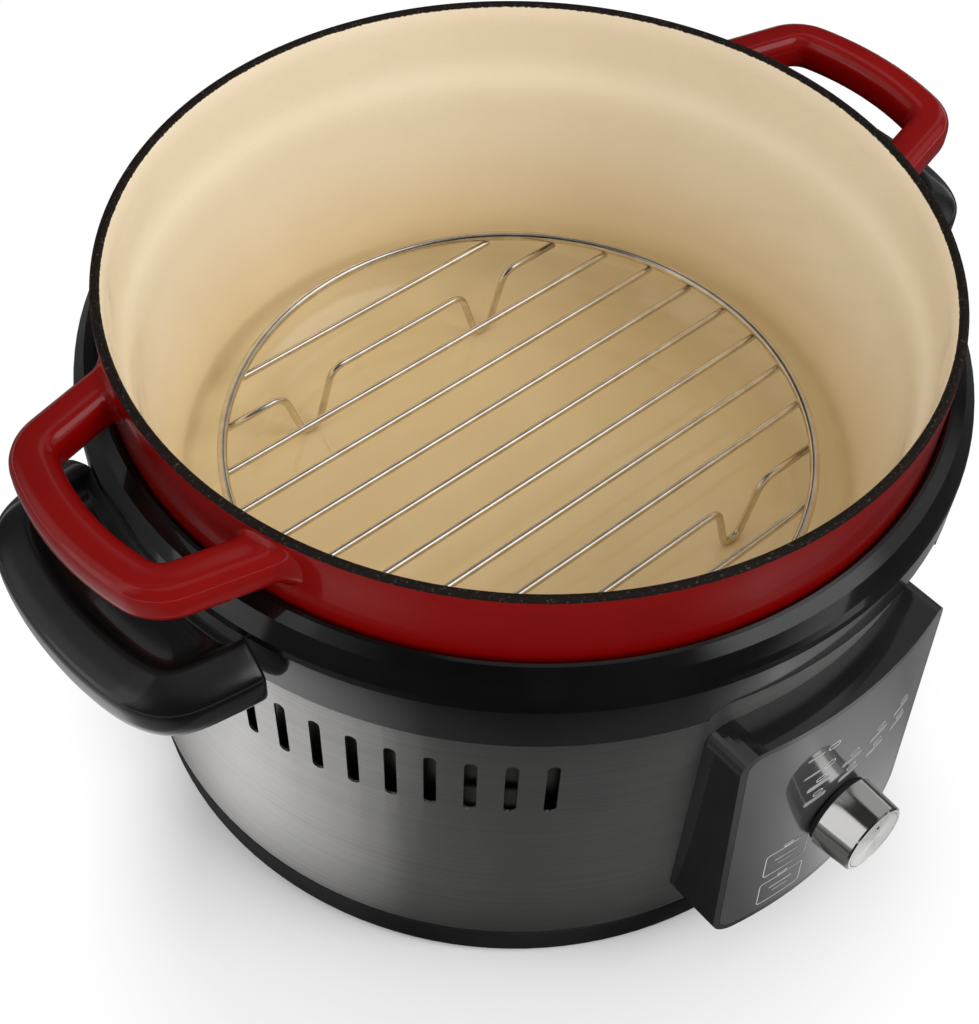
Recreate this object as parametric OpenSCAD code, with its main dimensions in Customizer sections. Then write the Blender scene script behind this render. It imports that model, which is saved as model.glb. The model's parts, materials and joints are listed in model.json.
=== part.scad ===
// Electric dutch oven: an enamelled cast iron pot standing in a round electric base.
// Millimetres, +Z up, +X towards the right handle, the control panel faces -Y.
// Every module is drawn about the pot's axis, and seated() then moves it to the shared origin.

/* [Pot] */
// Outer radius of the pot at its rim
pot_r = 131; // [125:1:136]
// Height of the pot from its foot to its rim
pot_h = 115; // [105:1:125]
// Width of the flat bare rim
rim_w = 2.8; // [2:0.2:4]
// Thickness of the pot's wall
pot_wall = 4.4; // [3.5:0.1:5.5]
// Thickness of the pot's floor
pot_floor = 5; // [4:0.5:7]
// How far the wall leans in between the shoulder and the floor
pot_taper = 8; // [4:1:12]
// Depth of the inner shoulder below the rim
shoulder_drop = 26; // [20:1:34]
// How far the inner shoulder steps in
shoulder_step = 3.6; // [2:0.2:5]
// Radius where the inner wall meets the floor
pot_corner_r = 22; // [14:1:28]

/* [Pot handles] */
// Reach of a cast handle beyond the pot's rim
ear_out = 36; // [30:1:41]
// Width of the bar seen from above
ear_bar_w = 13.5; // [10:0.5:16]
// Thickness of the bar from top to bottom
ear_bar_h = 13; // [9:0.5:16]
// Half the span between the outer sides of a handle's legs
ear_half_span = 42; // [36:1:46]
// Outer corner radius seen from above
ear_corner_r = 14; // [12:1:20]
// Radius of the bowed outer side
ear_bow_r = 97; // [80:1:140]
// Splay of each leg, in degrees
ear_splay = 14; // [8:1:18]
// Depth of the handle's top below the rim
ear_drop = 3.5; // [2:0.5:10]
// Edge rounding of the bar
ear_edge_r = 4.5; // [2:0.5:6]
// Width added where a handle meets the wall
ear_flare = 4; // [2:1:8]

/* [Rack] */
// Radius of the ring's centre line
rack_r = 100.6; // [92:0.2:102]
// Diameter of the ring wire
ring_wire_d = 3.4; // [2.5:0.1:4]
// Diameter of the bars
bar_wire_d = 2.6; // [2:0.1:3.2]
// Distance between neighbouring bars
bar_pitch = 16.6; // [14:0.2:18]
// Number of bars on each side of the middle one
bar_side_count = 5; // [4:1:5]
// Which bar on each side carries legs
leg_bar_index = 4; // [3:1:4]
// Height of the legs
leg_h = 23; // [18:1:30]
// Half the spread of a leg at its top
leg_half_w = 8.5; // [6:0.5:12]
// Radius of the bend at a leg's foot
leg_foot_r = 3; // [1.6:0.1:3.4]
// Distance of a leg from the middle of its bar
leg_place = 38; // [30:1:44]

/* [Shell and base] */
// How far the steel shell stands outside the pot's rim
shell_out = 7; // [6:0.5:12]
// Thickness of the steel
steel_t = 0.8; // [0.6:0.1:1.2]
// Height of the feet below the base ring
foot_drop = 2; // [1:0.5:4]
// Radius of a foot
foot_r = 9; // [6:0.5:12]
// Distance of the feet's middle inside the shell
foot_in = 30; // [24:1:45]
// Height of the base ring
base_ring_h = 16.5; // [12:0.5:20]
// Wall of the plastic parts
wall = 2.6; // [2:0.1:3.2]
// Thickness of the bottom pan
pan_t = 2; // [1.5:0.1:3]

/* [Vents] */
// Number of vents in a row
vent_count = 9; // [5:1:10]
// Angle between neighbouring vents
vent_step = 4.9; // [4.2:0.1:6]
// Angle of the vent nearest the panel, from +X
vent_end = 232.7; // [228:0.5:236]
// Width of a vent
vent_w = 3.8; // [3:0.1:5]
// Length of a vent
vent_l = 26; // [18:1:30]
// Height of the vents' middle above the table
vent_z = 113.6; // [105:0.2:118]

/* [Collar] */
// How far the collar stands outside the shell
collar_out = 3.5; // [2.5:0.5:6]
// Height of the collar's inner lip above the table
collar_top_z = 171; // [168:0.5:176]
// Height of the collar's lower edge above the table
collar_low_z = 143; // [138:0.5:148]
// Height of the shoulder where the brim turns down
collar_crease_z = 162; // [158:0.5:165]
// Gap between the collar's lip and the pot
lip_gap = 0.9; // [0.5:0.1:2]
// How far the collar is cut up above the panel
notch_h = 7; // [4:0.5:10]

/* [Base handles] */
// Reach of a base handle beyond the collar
grip_out = 36; // [32:0.5:44]
// Half width of a base handle
grip_half_w = 41; // [36:0.5:46]
// Half width where it meets the collar
grip_root_half_w = 49; // [44:0.5:54]
// Outer corner radius seen from above
grip_corner_r = 19; // [12:0.5:24]
// Thickness of a base handle
grip_h = 18.5; // [15:0.5:20]
// Depth of the dished top
grip_dish = 5; // [2:0.5:8]
// Width of the raised border
grip_border = 10; // [6:0.5:14]

/* [Panel] */
// Half width of the control panel
panel_half_w = 44.5; // [40:0.5:50]
// Height of the panel's lower edge above the table
panel_low_z = 30; // [26:0.5:36]
// Height of the panel's upper edge above the table
panel_top_z = 132.5; // [124:0.5:136]
// How far the face's upper edge stands outside the shell
face_top_out = 13; // [12:0.5:18]
// How far the face's lower edge stands outside the shell
face_low_out = 19.5; // [16:0.5:24]
// Corner radius of the panel
panel_corner_r = 8; // [4:0.5:12]
// Border left around the lens
lens_border = 2.2; // [1.5:0.1:4]
// Thickness of the lens
lens_t = 1.5; // [1.2:0.1:2]

/* [Knob] */
// Height of the knob's axis on the panel face
knob_z = 70; // [60:0.5:90]
// Radius of the knob at its base
knob_r = 13.4; // [11:0.1:16]
// Radius of the knob's front
knob_front_r = 12.4; // [10:0.1:15]
// Length of the knob
knob_l = 16; // [12:0.5:20]
// Radius of the knob's shaft
shaft_r = 3; // [2.5:0.1:3.5]

/* [Heating] */
// Radius of the hot plate
plate_r = 104; // [96:1:106]
// Thickness of the hot plate
plate_t = 8; // [6:0.5:10]
// Radius of the heating element's ring
element_r = 76; // [66:1:84]
// Radius of the element's tube
element_tube_r = 4; // [3:0.25:4.5]
// Radius of the heat sensor's cap
sensor_r = 12; // [9:0.5:14]
// Travel of the heat sensor
sensor_travel = 2; // [1:0.5:3]

/* [Fits] */
// Gap between a piece and its seat
seat_gap = 0.3; // [0.2:0.05:0.4]
// Running clearance of a shaft in its hole
run_gap = 0.05; // [0.02:0.01:0.1]

/* [Hidden] */
$fn = 96;

// Heights above the table, from the bottom up
ring_low_z = foot_drop;
ring_top_z = ring_low_z + base_ring_h;
pan_z = ring_low_z + 2.5;
pan_top_z = pan_z + pan_t;
foot_z = pan_z;
rim_z = 196.2;
pot_low_z = rim_z - pot_h;
plate_top_z = pot_low_z - seat_gap;
plate_low_z = plate_top_z - plate_t;
stud_h = 9;
liner_t = 0.8;
liner_floor_z = plate_low_z - stud_h - liner_t;
shield_z = liner_floor_z - 12;
pot_floor_z = pot_low_z + pot_floor;
rack_bar_z = pot_floor_z + seat_gap + leg_h + bar_wire_d / 2;
rack_ring_z = rack_bar_z + (ring_wire_d + bar_wire_d) / 2;

// Radii from the pot outwards
ear_reach = pot_r + ear_out;
shell_r = pot_r + shell_out;
collar_r = shell_r + collar_out;
grip_reach = collar_r + grip_out;
face_top_r = shell_r + face_top_out;
face_low_r = shell_r + face_low_out;
lip_r = pot_r + lip_gap;
skirt_t = 1.6;
skirt_r = lip_r + skirt_t;
skirt_low_z = collar_low_z - 3;
liner_r = lip_r + 1.3;
shell_in_r = shell_r - steel_t;
collar_in_r = shell_r + 0.4;
shell_top_z = collar_crease_z - wall - 0.6;

// Panel and knob
lean = atan((face_low_r - face_top_r) / (panel_top_z - panel_low_z));
panel_back_r = shell_r + 0.1;
function face_r(z) = face_low_r + (face_top_r - face_low_r) * (z - panel_low_z) / (panel_top_z - panel_low_z);
knob_reach = face_r(knob_z) + knob_l * cos(lean) + knob_front_r * sin(lean);
gland_reach = shell_r + 5;
y_shift = (knob_reach - gland_reach) / 2;

// Screws
screw_r = 1.6;
screw_head_r = 3.2;
screw_head_h = 1.8;
foot_place = shell_r - foot_in;
boss_place = shell_r - 14;
boss_r = 4.5;
rod_r = 3;
rod_place = shell_r - 22;
rod_angles = [30, 150, 285];
screw_y = 30;
screw_z = (collar_low_z + collar_crease_z) / 2;
panel_screw_x = 34;
panel_screw_z = [panel_low_z + 12, panel_top_z - 12];

// Bend where a rack leg leaves its bar
leg_top_bend_r = 4;

// Inside of the pot and middle line of its handles
rim_in_r = pot_r - rim_w;
wall_in_r = pot_r - pot_wall;
shoulder_z = rim_z - shoulder_drop;
low_in_r = wall_in_r - shoulder_step;
floor_in_r = low_in_r - pot_taper;
ear_mid_z = rim_z - ear_drop - ear_bar_h / 2;
ear_bow_x = ear_reach - ear_bow_r;
// The bar laps both bends by a hair, so that they are one casting
ear_lap = 0.02;
ear_lap_at = 0.2;
ear_bend_y = ear_half_span - ear_corner_r - 3;
ear_bend_at = asin(ear_bend_y / (ear_bow_r - ear_corner_r));
ear_bend_x = ear_bow_x + (ear_bow_r - ear_corner_r) * cos(ear_bend_at);

// Base handles
grip_low_z = collar_low_z - 1;
grip_root_r = collar_r + 0.15;
grip_side_x = grip_reach - grip_corner_r - 1;
grip_bow = 0.8;
grip_under_r = collar_r + grip_out / 4;
grip_hollow_h = 8.5;
grip_dish_r = collar_r + grip_out / 6;
grip_screw_x = collar_r + grip_out / 9;
notch_side = 4;

// Heating element and its terminals
stud_place = plate_r - 12;
element_open = 12;
terminal_x = element_r * sin(element_open);
terminal_y = element_r * cos(element_open);
element_z = plate_low_z + 1.2;
sleeve_r = element_tube_r + 0.8;

// Heat sensor
holder_low_z = liner_floor_z - 8;
cap_top_z = plate_top_z;
stem_r = 4;
spring_low_z = holder_low_z + 1;
spring_top_z = cap_top_z - 3;
spring_r = 7.5;
spring_wire_r = 0.6;
spring_turns = 6;
spring_flat = 0.5;
stem_low_z = holder_low_z - 2 - sensor_travel;

// Electronics in the base
standoff_h = 6;
board_z = pan_top_z + standoff_h;
board_t = 1.6;
board_x = 42;
board_w = 70;
board_l = 90;
coil_w = 22;
coil_l = 30;
coil_h = 14;
relay_w = 16;
relay_l = 20;
relay_h = 15;
block_w = 44;
block_l = 16;
block_h = 14;
lead_r = 1.4;
lead_end_y = 82;

// Control board, placed from the lens's inner wall along the knob's axis
inner_wall_d = lens_t + wall - 0.3;
encoder_h = 6.5;
pcb_t = 1.6;
pcb_d = inner_wall_d + encoder_h + 0.4;
pcb_w = 2 * panel_half_w - 37;
pcb_h = panel_top_z - panel_low_z - 18.5;
pcb_up = (panel_low_z + panel_top_z) / 2 - knob_z;
key_x = -19.5;
key_up = [-3.8, -23];
display_w = 21;
display_h = 15;
display_t = encoder_h - 3.4;

// Gland of the mains lead
gland_z = 40;
gland_r = 8;
gland_bore_r = 3.6;

module seated() {
    translate([0, y_shift, 0])
        children();
}

// Points of an arc, from angle a to angle b in n steps
function arc(c, r, a, b, n) = [for (i = [0:n]) let (t = a + (b - a) * i / n) [c.x + r * cos(t), c.y + r * sin(t)]];

// A closed rounded rectangle about the origin
function round_rect(w, h, r, n = 4) = concat(
    arc([w / 2 - r, h / 2 - r], r, 0, 90, n),
    arc([r - w / 2, h / 2 - r], r, 90, 180, n),
    arc([r - w / 2, r - h / 2], r, 180, 270, n),
    arc([w / 2 - r, r - h / 2], r, 270, 360, n)
);

module polar(angle, r) {
    rotate(angle)
        translate([r, 0, 0])
            children();
}

// A round rod from p to q
module rod(p, q, r) {
    d = q - p;
    l = norm(d);
    translate(p)
        rotate([0, acos(d.z / l), atan2(d.y, d.x)])
            cylinder(h = l, r = r, $fn = 24);
}

// The points of a bent wire: each inner corner becomes an arc of radius r in n steps
function bent(points, r, n = 4) = concat(
    [points[0]],
    [for (i = [1:len(points) - 2])
        let (
            u = points[i - 1] - points[i],
            v = points[i + 1] - points[i],
            u1 = u / norm(u),
            v1 = v / norm(v),
            half = acos(u1 * v1) / 2,
            bend_r = is_list(r) ? r[i - 1] : r,
            cut = bend_r / tan(half),
            mid = (u1 + v1) / norm(u1 + v1),
            c = points[i] + mid * bend_r / sin(half),
            p = points[i] + u1 * cut - c,
            turn = (u1.x * v1.y - u1.y * v1.x > 0 ? -1 : 1) * (180 - 2 * half)
        )
        for (k = [0:n]) let (t = turn * k / n) c + [p.x * cos(t) - p.y * sin(t), p.x * sin(t) + p.y * cos(t)]],
    [points[len(points) - 1]]
);

// A tube of radius r along points [x, z] of the plane y = 0
module wire(points, r, sides = 8) {
    n = len(points);
    rings = [for (i = [0:n - 1])
        let (
            before = points[max(i - 1, 0)],
            after = points[min(i + 1, n - 1)],
            d = (after - before) / norm(after - before)
        )
        [for (s = [0:sides - 1]) let (a = -360 * s / sides) [
            points[i].x - d.y * r * cos(a), r * sin(a), points[i].y + d.x * r * cos(a)
        ]]];
    loft(rings);
}

// A solid skinned over rings of equal point count, closed at both ends
module loft(rings) {
    n = len(rings[0]);
    m = len(rings);
    points = [for (ring = rings) for (p = ring) p];
    sides = [for (j = [0:m - 2]) for (i = [0:n - 1]) let (k = (i + 1) % n)
        each [[j * n + i, (j + 1) * n + i, (j + 1) * n + k], [j * n + i, (j + 1) * n + k, j * n + k]]];
    first = [[for (i = [0:n - 1]) i]];
    last = [[for (i = [n - 1:-1:0]) (m - 1) * n + i]];
    polyhedron(points = points, faces = concat(first, sides, last), convexity = 6);
}

// Feet, pan and base ring

module feet() {
    color("dimgray")
        for (a = [45:90:315])
            polar(a, foot_place)
                union() {
                    cylinder(h = foot_z, r1 = foot_r - 1, r2 = foot_r);
                    cylinder(h = foot_z + pan_t, r = foot_r / 2);
                }
}

module base_screws() {
    color("silver")
        for (a = [0:90:270])
            polar(a, boss_place)
                union() {
                    translate([0, 0, pan_z - screw_head_h])
                        cylinder(h = screw_head_h, r = screw_head_r);
                    translate([0, 0, pan_z - 0.1])
                        cylinder(h = pan_t + 6, r = screw_r);
                }
}

module base_pan() {
    slot_count = 9;
    color("gray")
        difference() {
            translate([0, 0, pan_z])
                cylinder(h = pan_t, r = shell_r - wall - 0.6);
            for (a = [45:90:315])
                polar(a, foot_place)
                    translate([0, 0, pan_z - 1])
                        cylinder(h = pan_t + 2, r = foot_r / 2 + run_gap);
            for (a = [0:90:270])
                polar(a, boss_place)
                    translate([0, 0, pan_z - 1])
                        cylinder(h = pan_t + 2, r = screw_r + 0.2);
            for (a = rod_angles)
                polar(a, rod_place)
                    translate([0, 0, pan_z - 1])
                        cylinder(h = pan_t + 2, r = rod_r + 0.1);
            for (i = [0:slot_count - 1])
                translate([(i - (slot_count - 1) / 2) * 11, 0, pan_z + pan_t / 2])
                    cube([4, 70 - 3 * abs(i - 4), pan_t + 2], center = true);
        }
}

module base_ring() {
    low_r = shell_r - 0.8;
    color([0.16, 0.16, 0.17])
        union() {
            rotate_extrude($fn = 180)
                polygon([
                    [low_r - 6, ring_low_z], [low_r - 1.2, ring_low_z], [low_r, ring_low_z + 1.2],
                    [shell_r, ring_top_z - 3], [shell_r, ring_top_z - 1.4], [shell_r - 1, ring_top_z - 1],
                    [shell_r - 1, ring_top_z], [shell_in_r - 0.2, ring_top_z], [shell_in_r - 0.2, ring_top_z + 5],
                    [shell_in_r - 1.8, ring_top_z + 5], [shell_r - wall - 0.4, ring_low_z + 2.4],
                    [low_r - 6, ring_low_z + 2.4]
                ]);
            for (a = [0:90:270])
                polar(a, boss_place)
                    translate([0, 0, pan_top_z])
                        difference() {
                            union() {
                                cylinder(h = 8, r = boss_r);
                                translate([0, -1.5, 0])
                                    cube([shell_r - wall - boss_place + 1, 3, 8]);
                            }
                            translate([0, 0, -1])
                                cylinder(h = 8, r = screw_r);
                        }
        }
}

// Steel shell

module vent_cut(angle) {
    polar(angle, shell_r)
        translate([0, 0, vent_z])
            rotate([0, 90, 0])
                union() {
                    cube([vent_l - vent_w, vent_w, 8], center = true);
                    for (s = [-1, 1])
                        translate([s * (vent_l - vent_w) / 2, 0, 0])
                            cylinder(h = 8, r = vent_w / 2, center = true, $fn = 24);
                }
}

module handle_screw_holes(r, from_x, to_x) {
    for (sx = [0, 180])
        for (y = [-screw_y, screw_y])
            rotate(sx)
                translate([from_x, y, screw_z])
                    rotate([0, 90, 0])
                        cylinder(h = to_x - from_x, r = r, $fn = 24);
}

module panel_screw_holes(r, from_y, to_y) {
    for (x = [-panel_screw_x, panel_screw_x])
        for (z = panel_screw_z)
            translate([x, -from_y, z])
                rotate([90, 0, 0])
                    cylinder(h = to_y - from_y, r = r, $fn = 24);
}

module steel_shell() {
    color([0.78, 0.79, 0.80])
        difference() {
            rotate_extrude($fn = 180)
                polygon([
                    [shell_in_r, ring_top_z], [shell_r, ring_top_z],
                    [shell_r, shell_top_z], [shell_in_r, shell_top_z]
                ]);
            for (i = [0:vent_count - 1])
                vent_cut(vent_end - i * vent_step);
            handle_screw_holes(screw_r + 0.3, shell_r - 20, shell_r + 5);
            panel_screw_holes(screw_r + 0.3, shell_r - 20, shell_r + 5);
            translate([-14, -shell_r - 5, knob_z - 30])
                cube([28, 20, 16]);
            translate([0, shell_r - 10, gland_z])
                rotate([-90, 0, 0])
                    cylinder(h = 20, r = gland_r + run_gap);
        }
}

// A bright strip fixed inside the shell, which shows through two of the vents
module shield_bracket() {
    strip_r = shell_in_r - 0.3;
    color("gainsboro")
        union() {
            rotate(vent_end - 3 * vent_step - 2)
                rotate_extrude(angle = 3 * vent_step, $fn = 180)
                    polygon([
                        [strip_r - 1, vent_z - vent_l / 2 - 12], [strip_r, vent_z - vent_l / 2 - 12],
                        [strip_r, vent_z - vent_l / 2 - 2], [strip_r - 1, vent_z - vent_l / 2 - 2]
                    ]);
            rotate(vent_end - 2.2 * vent_step)
                rotate_extrude(angle = 1.4 * vent_step, $fn = 180)
                    polygon([
                        [strip_r - 1, vent_z - vent_l / 2 - 3], [strip_r - 0.2, vent_z - vent_l / 2 - 3],
                        [strip_r - 2.4, vent_z - vent_l / 2 + 7], [strip_r - 3.2, vent_z - vent_l / 2 + 7]
                    ]);
        }
}

// Collar

// The cut above the panel, with a rounded corner at each end
function notch_outline() = let (
    half = panel_half_w + notch_side,
    r = notch_h - 0.8,
    top = collar_low_z + notch_h
) concat(
    arc([half - r, top - r], r, 0, 90, 6),
    arc([r - half, top - r], r, 90, 180, 6),
    [[-half, collar_low_z - 1], [half, collar_low_z - 1]]
);

module collar() {
    brim_mid = (lip_r + collar_r) / 2;
    color([0.05, 0.05, 0.05])
        difference() {
            rotate_extrude($fn = 180)
                polygon([
                    [lip_r, skirt_low_z], [skirt_r, skirt_low_z], [skirt_r, collar_top_z - wall - 1.5],
                    [collar_in_r - 1.8, collar_crease_z - 0.6], [collar_in_r, collar_crease_z - wall],
                    [collar_in_r, collar_low_z], [collar_r - 0.8, collar_low_z], [collar_r, collar_low_z + 0.8],
                    [collar_r, collar_crease_z - 1.5], [collar_r - 0.5, collar_crease_z + 0.6],
                    [collar_r - 1.7, collar_crease_z + 2.4], [brim_mid + 0.4, collar_top_z - 2.4],
                    [lip_r + 1.8, collar_top_z - 0.3], [lip_r + 0.8, collar_top_z], [lip_r, collar_top_z - 0.8]
                ]);
            difference() {
                translate([0, -skirt_r + 20, 0])
                    rotate([90, 0, 0])
                        linear_extrude(height = collar_r - skirt_r + 30)
                            polygon(notch_outline());
                cylinder(h = collar_top_z, r = skirt_r + 0.6);
            }
            handle_screw_holes(screw_r + 0.3, shell_r - 5, collar_r + 5);
        }
}

// Base handles

// Half width of a handle drawn in by i where its outline starts, r from the pot's axis
function grip_start(i, r) = let (out = grip_reach - grip_corner_r, u = (out - r) / (out - grip_root_r))
    grip_half_w - i + (grip_root_half_w - grip_half_w) * u * u;

// A side of the handle from [x0, y0] out towards its corner, in four steps
function grip_side(i, x0, y0) = [for (t = [0:0.25:0.75]) [
    x0 + (grip_side_x - x0) * t,
    grip_half_w - i + (y0 - grip_half_w + i) * pow(1 - t, 2)
]];

// The outer end of a base handle drawn in by i, from the near side to the far side
function grip_end(i) = concat(
    arc([grip_reach - grip_corner_r, grip_corner_r - grip_half_w], grip_corner_r - i, -90, 0, 8),
    [[grip_reach - i + grip_bow, 0]],
    arc([grip_reach - grip_corner_r, grip_half_w - grip_corner_r], grip_corner_r - i, 0, 90, 8)
);

// The whole outline drawn in by i at height z, whose root follows the collar at radius r
function grip_ring(i, r, z) = let (
    y0 = grip_start(i, r),
    a0 = asin(y0 / r),
    side = grip_side(i, r * cos(a0), y0),
    outline = concat(
        [for (p = side) [p.x, -p.y]],
        grip_end(i),
        [for (k = [3:-1:0]) side[k]],
        [for (k = [5:-1:-5]) [r * cos(a0 * k / 6), r * sin(a0 * k / 6)]]
    )
) [for (p = outline) [p.x, p.y, z]];

// A grip hollow below, a rounded edge all round and a dish inside a raised border
module handle_right() {
    low = grip_low_z;
    top = grip_low_z + grip_h;
    color([0.06, 0.06, 0.06])
        difference() {
            loft([
                grip_ring(9, grip_under_r + 2, low + grip_hollow_h),
                grip_ring(6.5, grip_under_r + 0.5, low + grip_hollow_h - 1.5),
                grip_ring(5.5, grip_under_r, low + 0.4),
                grip_ring(3.6, grip_root_r, low),
                grip_ring(1.2, grip_root_r, low + 1.2),
                grip_ring(0, grip_root_r, low + 4.5),
                grip_ring(0.4, grip_root_r, top - 5),
                grip_ring(1.6, grip_root_r, top - 1.8),
                grip_ring(3.6, grip_root_r, top - 0.3),
                grip_ring(5.2, grip_root_r, top),
                grip_ring(grip_border - 3.5, grip_dish_r - 1.5, top - 0.4),
                grip_ring(grip_border, grip_dish_r + 1, top - grip_dish + 1.5),
                grip_ring(grip_border + 3, grip_dish_r + 4, top - grip_dish)
            ]);
            handle_screw_holes(screw_r - 0.1, shell_r - 5, grip_screw_x + 0.3);
        }
}

module handle_left() {
    mirror([1, 0, 0])
        handle_right();
}

module handle_screws() {
    inner_x = sqrt(pow(shell_in_r, 2) - pow(screw_y + screw_head_r, 2)) - 0.2;
    color("silver")
        for (a = [0, 180])
            for (y = [-screw_y, screw_y])
                rotate(a)
                    translate([inner_x - screw_head_h, y, screw_z])
                        rotate([0, 90, 0])
                            union() {
                                cylinder(h = screw_head_h, r = screw_head_r, $fn = 24);
                                cylinder(h = grip_screw_x - inner_x + screw_head_h, r = screw_r - 0.1, $fn = 24);
                            }
}

// Heating well

module liner() {
    color("lightgray")
        difference() {
            rotate_extrude($fn = 180)
                polygon([
                    [0, liner_floor_z], [liner_r - 9, liner_floor_z], [liner_r - 1, liner_floor_z + 8],
                    [liner_r, skirt_low_z - 1], [skirt_r + 0.2, skirt_low_z - 1], [skirt_r + 0.2, skirt_low_z - 0.2],
                    [liner_r - liner_t, skirt_low_z - 0.2], [liner_r - liner_t - 1, liner_floor_z + 8.4],
                    [liner_r - 9.4, liner_floor_z + liner_t], [0, liner_floor_z + liner_t]
                ]);
            translate([0, 0, liner_floor_z - 1])
                cylinder(h = 4, r = sensor_r + 1.5);
            at_terminals()
                translate([0, 0, liner_floor_z - 1])
                    cylinder(h = 4, r = sleeve_r + 1);
            for (a = rod_angles)
                polar(a, rod_place)
                    translate([0, 0, liner_floor_z - 1])
                        cylinder(h = 4, r = screw_r + 0.1);
        }
}

module liner_screws() {
    color("silver")
        for (a = rod_angles)
            polar(a, rod_place)
                translate([0, 0, liner_floor_z + liner_t])
                    union() {
                        cylinder(h = screw_head_h, r = screw_head_r);
                        translate([0, 0, -liner_t - 5])
                            cylinder(h = liner_t + 5 + 0.1, r = screw_r);
                    }
}

module tie_rods() {
    color("silver")
        for (a = rod_angles)
            polar(a, rod_place)
                difference() {
                    translate([0, 0, pan_z])
                        cylinder(h = liner_floor_z - pan_z, r = rod_r);
                    translate([0, 0, liner_floor_z - 5.5])
                        cylinder(h = 6, r = screw_r);
                }
}

// Nuts under and over the shield and over the pan
module rod_nuts() {
    nut_r = 5.5;
    nut_h = 4;
    color("silver")
        for (a = rod_angles)
            for (z = [pan_top_z, shield_z - nut_h, shield_z + liner_t])
                polar(a, rod_place)
                    translate([0, 0, z])
                        difference() {
                            cylinder(h = nut_h, r = nut_r, $fn = 6);
                            translate([0, 0, -1])
                                cylinder(h = nut_h + 2, r = rod_r);
                        }
}

module heat_shield() {
    shield_r = shell_in_r - 8;
    color("gainsboro")
        difference() {
            rotate_extrude()
                polygon([
                    [20, shield_z], [shield_r - 4, shield_z], [shield_r, shield_z - 6],
                    [shield_r + 0.8, shield_z - 5.6], [shield_r - 3.6, shield_z + liner_t], [20, shield_z + liner_t]
                ]);
            for (a = rod_angles)
                polar(a, rod_place)
                    translate([0, 0, shield_z - 1])
                        cylinder(h = 4, r = rod_r + 0.1);
            at_terminals()
                translate([0, 0, shield_z - 1])
                    cylinder(h = 4, r = sleeve_r + 1);
        }
}

module hot_plate() {
    color("darkgray")
        difference() {
            rotate_extrude()
                polygon([
                    [sensor_r + 1, plate_low_z], [plate_r - 2, plate_low_z], [plate_r, plate_low_z + 2],
                    [plate_r, plate_top_z - 1], [plate_r - 1, plate_top_z], [sensor_r + 1, plate_top_z]
                ]);
            element_ring(element_tube_r + run_gap);
            at_terminals()
                translate([0, 0, plate_low_z - 1])
                    cylinder(h = element_z + element_tube_r + 1.6 - plate_low_z, r = sleeve_r + run_gap);
            for (a = [90:120:330])
                polar(a + 30, stud_place)
                    translate([0, 0, plate_low_z - 1])
                        cylinder(h = 5, r = 2.1);
        }
}

module plate_studs() {
    color("silver")
        for (a = [90:120:330])
            polar(a + 30, stud_place)
                translate([0, 0, plate_low_z - stud_h])
                    union() {
                        cylinder(h = stud_h, r = 4.5);
                        cylinder(h = stud_h + 3.5, r = 2);
                    }
}

// The open ring that lies in the plate's groove
module element_ring(r) {
    rotate(90 + element_open)
        rotate_extrude(angle = 360 - 2 * element_open)
            translate([element_r, element_z])
                circle(r = r, $fn = 32);
}

module at_terminals() {
    for (x = [-terminal_x, terminal_x])
        translate([x, terminal_y, 0])
            children();
}

module heating_element() {
    color("dimgray")
        union() {
            element_ring(element_tube_r);
            at_terminals()
                translate([0, 0, shield_z - 6])
                    cylinder(h = element_z + element_tube_r + 0.4 - shield_z + 6, r = sleeve_r);
        }
}

// Heat sensor

module sensor_holder() {
    color("silver")
        difference() {
            union() {
                translate([0, 0, holder_low_z])
                    cylinder(h = liner_floor_z - holder_low_z, r = sensor_r + 1);
                translate([0, 0, liner_floor_z - 1])
                    cylinder(h = 1, r = sensor_r + 7);
            }
            translate([0, 0, spring_low_z])
                cylinder(h = 30, r = sensor_r);
            translate([0, 0, holder_low_z - 1])
                cylinder(h = 5, r = stem_r + run_gap);
        }
}

module sensor_cap() {
    color("gainsboro")
        union() {
            rotate_extrude()
                polygon([
                    [0, spring_top_z], [sensor_r - 1.4, spring_top_z], [sensor_r - 1.4, spring_top_z - 3],
                    [sensor_r, spring_top_z - 3], [sensor_r, cap_top_z - 1], [sensor_r - 1, cap_top_z], [0, cap_top_z]
                ]);
            translate([0, 0, stem_low_z])
                cylinder(h = spring_top_z - stem_low_z + 0.5, r = stem_r);
        }
}

// Height of the spring's centre line after t turns, with flat ends
function spring_z(t) = let (
    low = spring_low_z + spring_wire_r + 0.05,
    high = spring_top_z - spring_wire_r - 0.05,
    u = (t - spring_flat) / (spring_turns - 2 * spring_flat)
) low + (high - low) * min(max(u, 0), 1);

// Centre line of the spring as [angle, slip, z], where slip runs on straight past each end
function spring_line() = concat(
    [[0, -2 * spring_wire_r, spring_z(0)]],
    [for (j = [0:8 * spring_turns]) [45 * j, 0, spring_z(j / 8)]],
    [[360 * spring_turns, 2 * spring_wire_r, spring_z(spring_turns)]]
);

// Place of a point of the spring, r from its axis
function spring_point(p, r, dz) = [
    r * cos(p[0]) - p[1] * sin(p[0]), r * sin(p[0]) + p[1] * cos(p[0]), p[2] + dz
];

// Least gap between turns of the spring, measured between points half a turn or more apart
function spring_gap() = let (
    line = [for (p = spring_line()) spring_point(p, spring_r, 0)],
    n = len(line)
) min([for (i = [0:n - 5]) for (j = [i + 4:n - 1]) norm(line[i] - line[j])]) - 2 * spring_wire_r;

module sensor_spring() {
    echo(least_spring_gap = spring_gap());
    color("silver")
        loft([for (p = spring_line()) [for (s = [0:60:300])
            spring_point(p, spring_r + spring_wire_r * cos(s), spring_wire_r * sin(s))
        ]]);
}

// Electronics in the base

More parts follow.
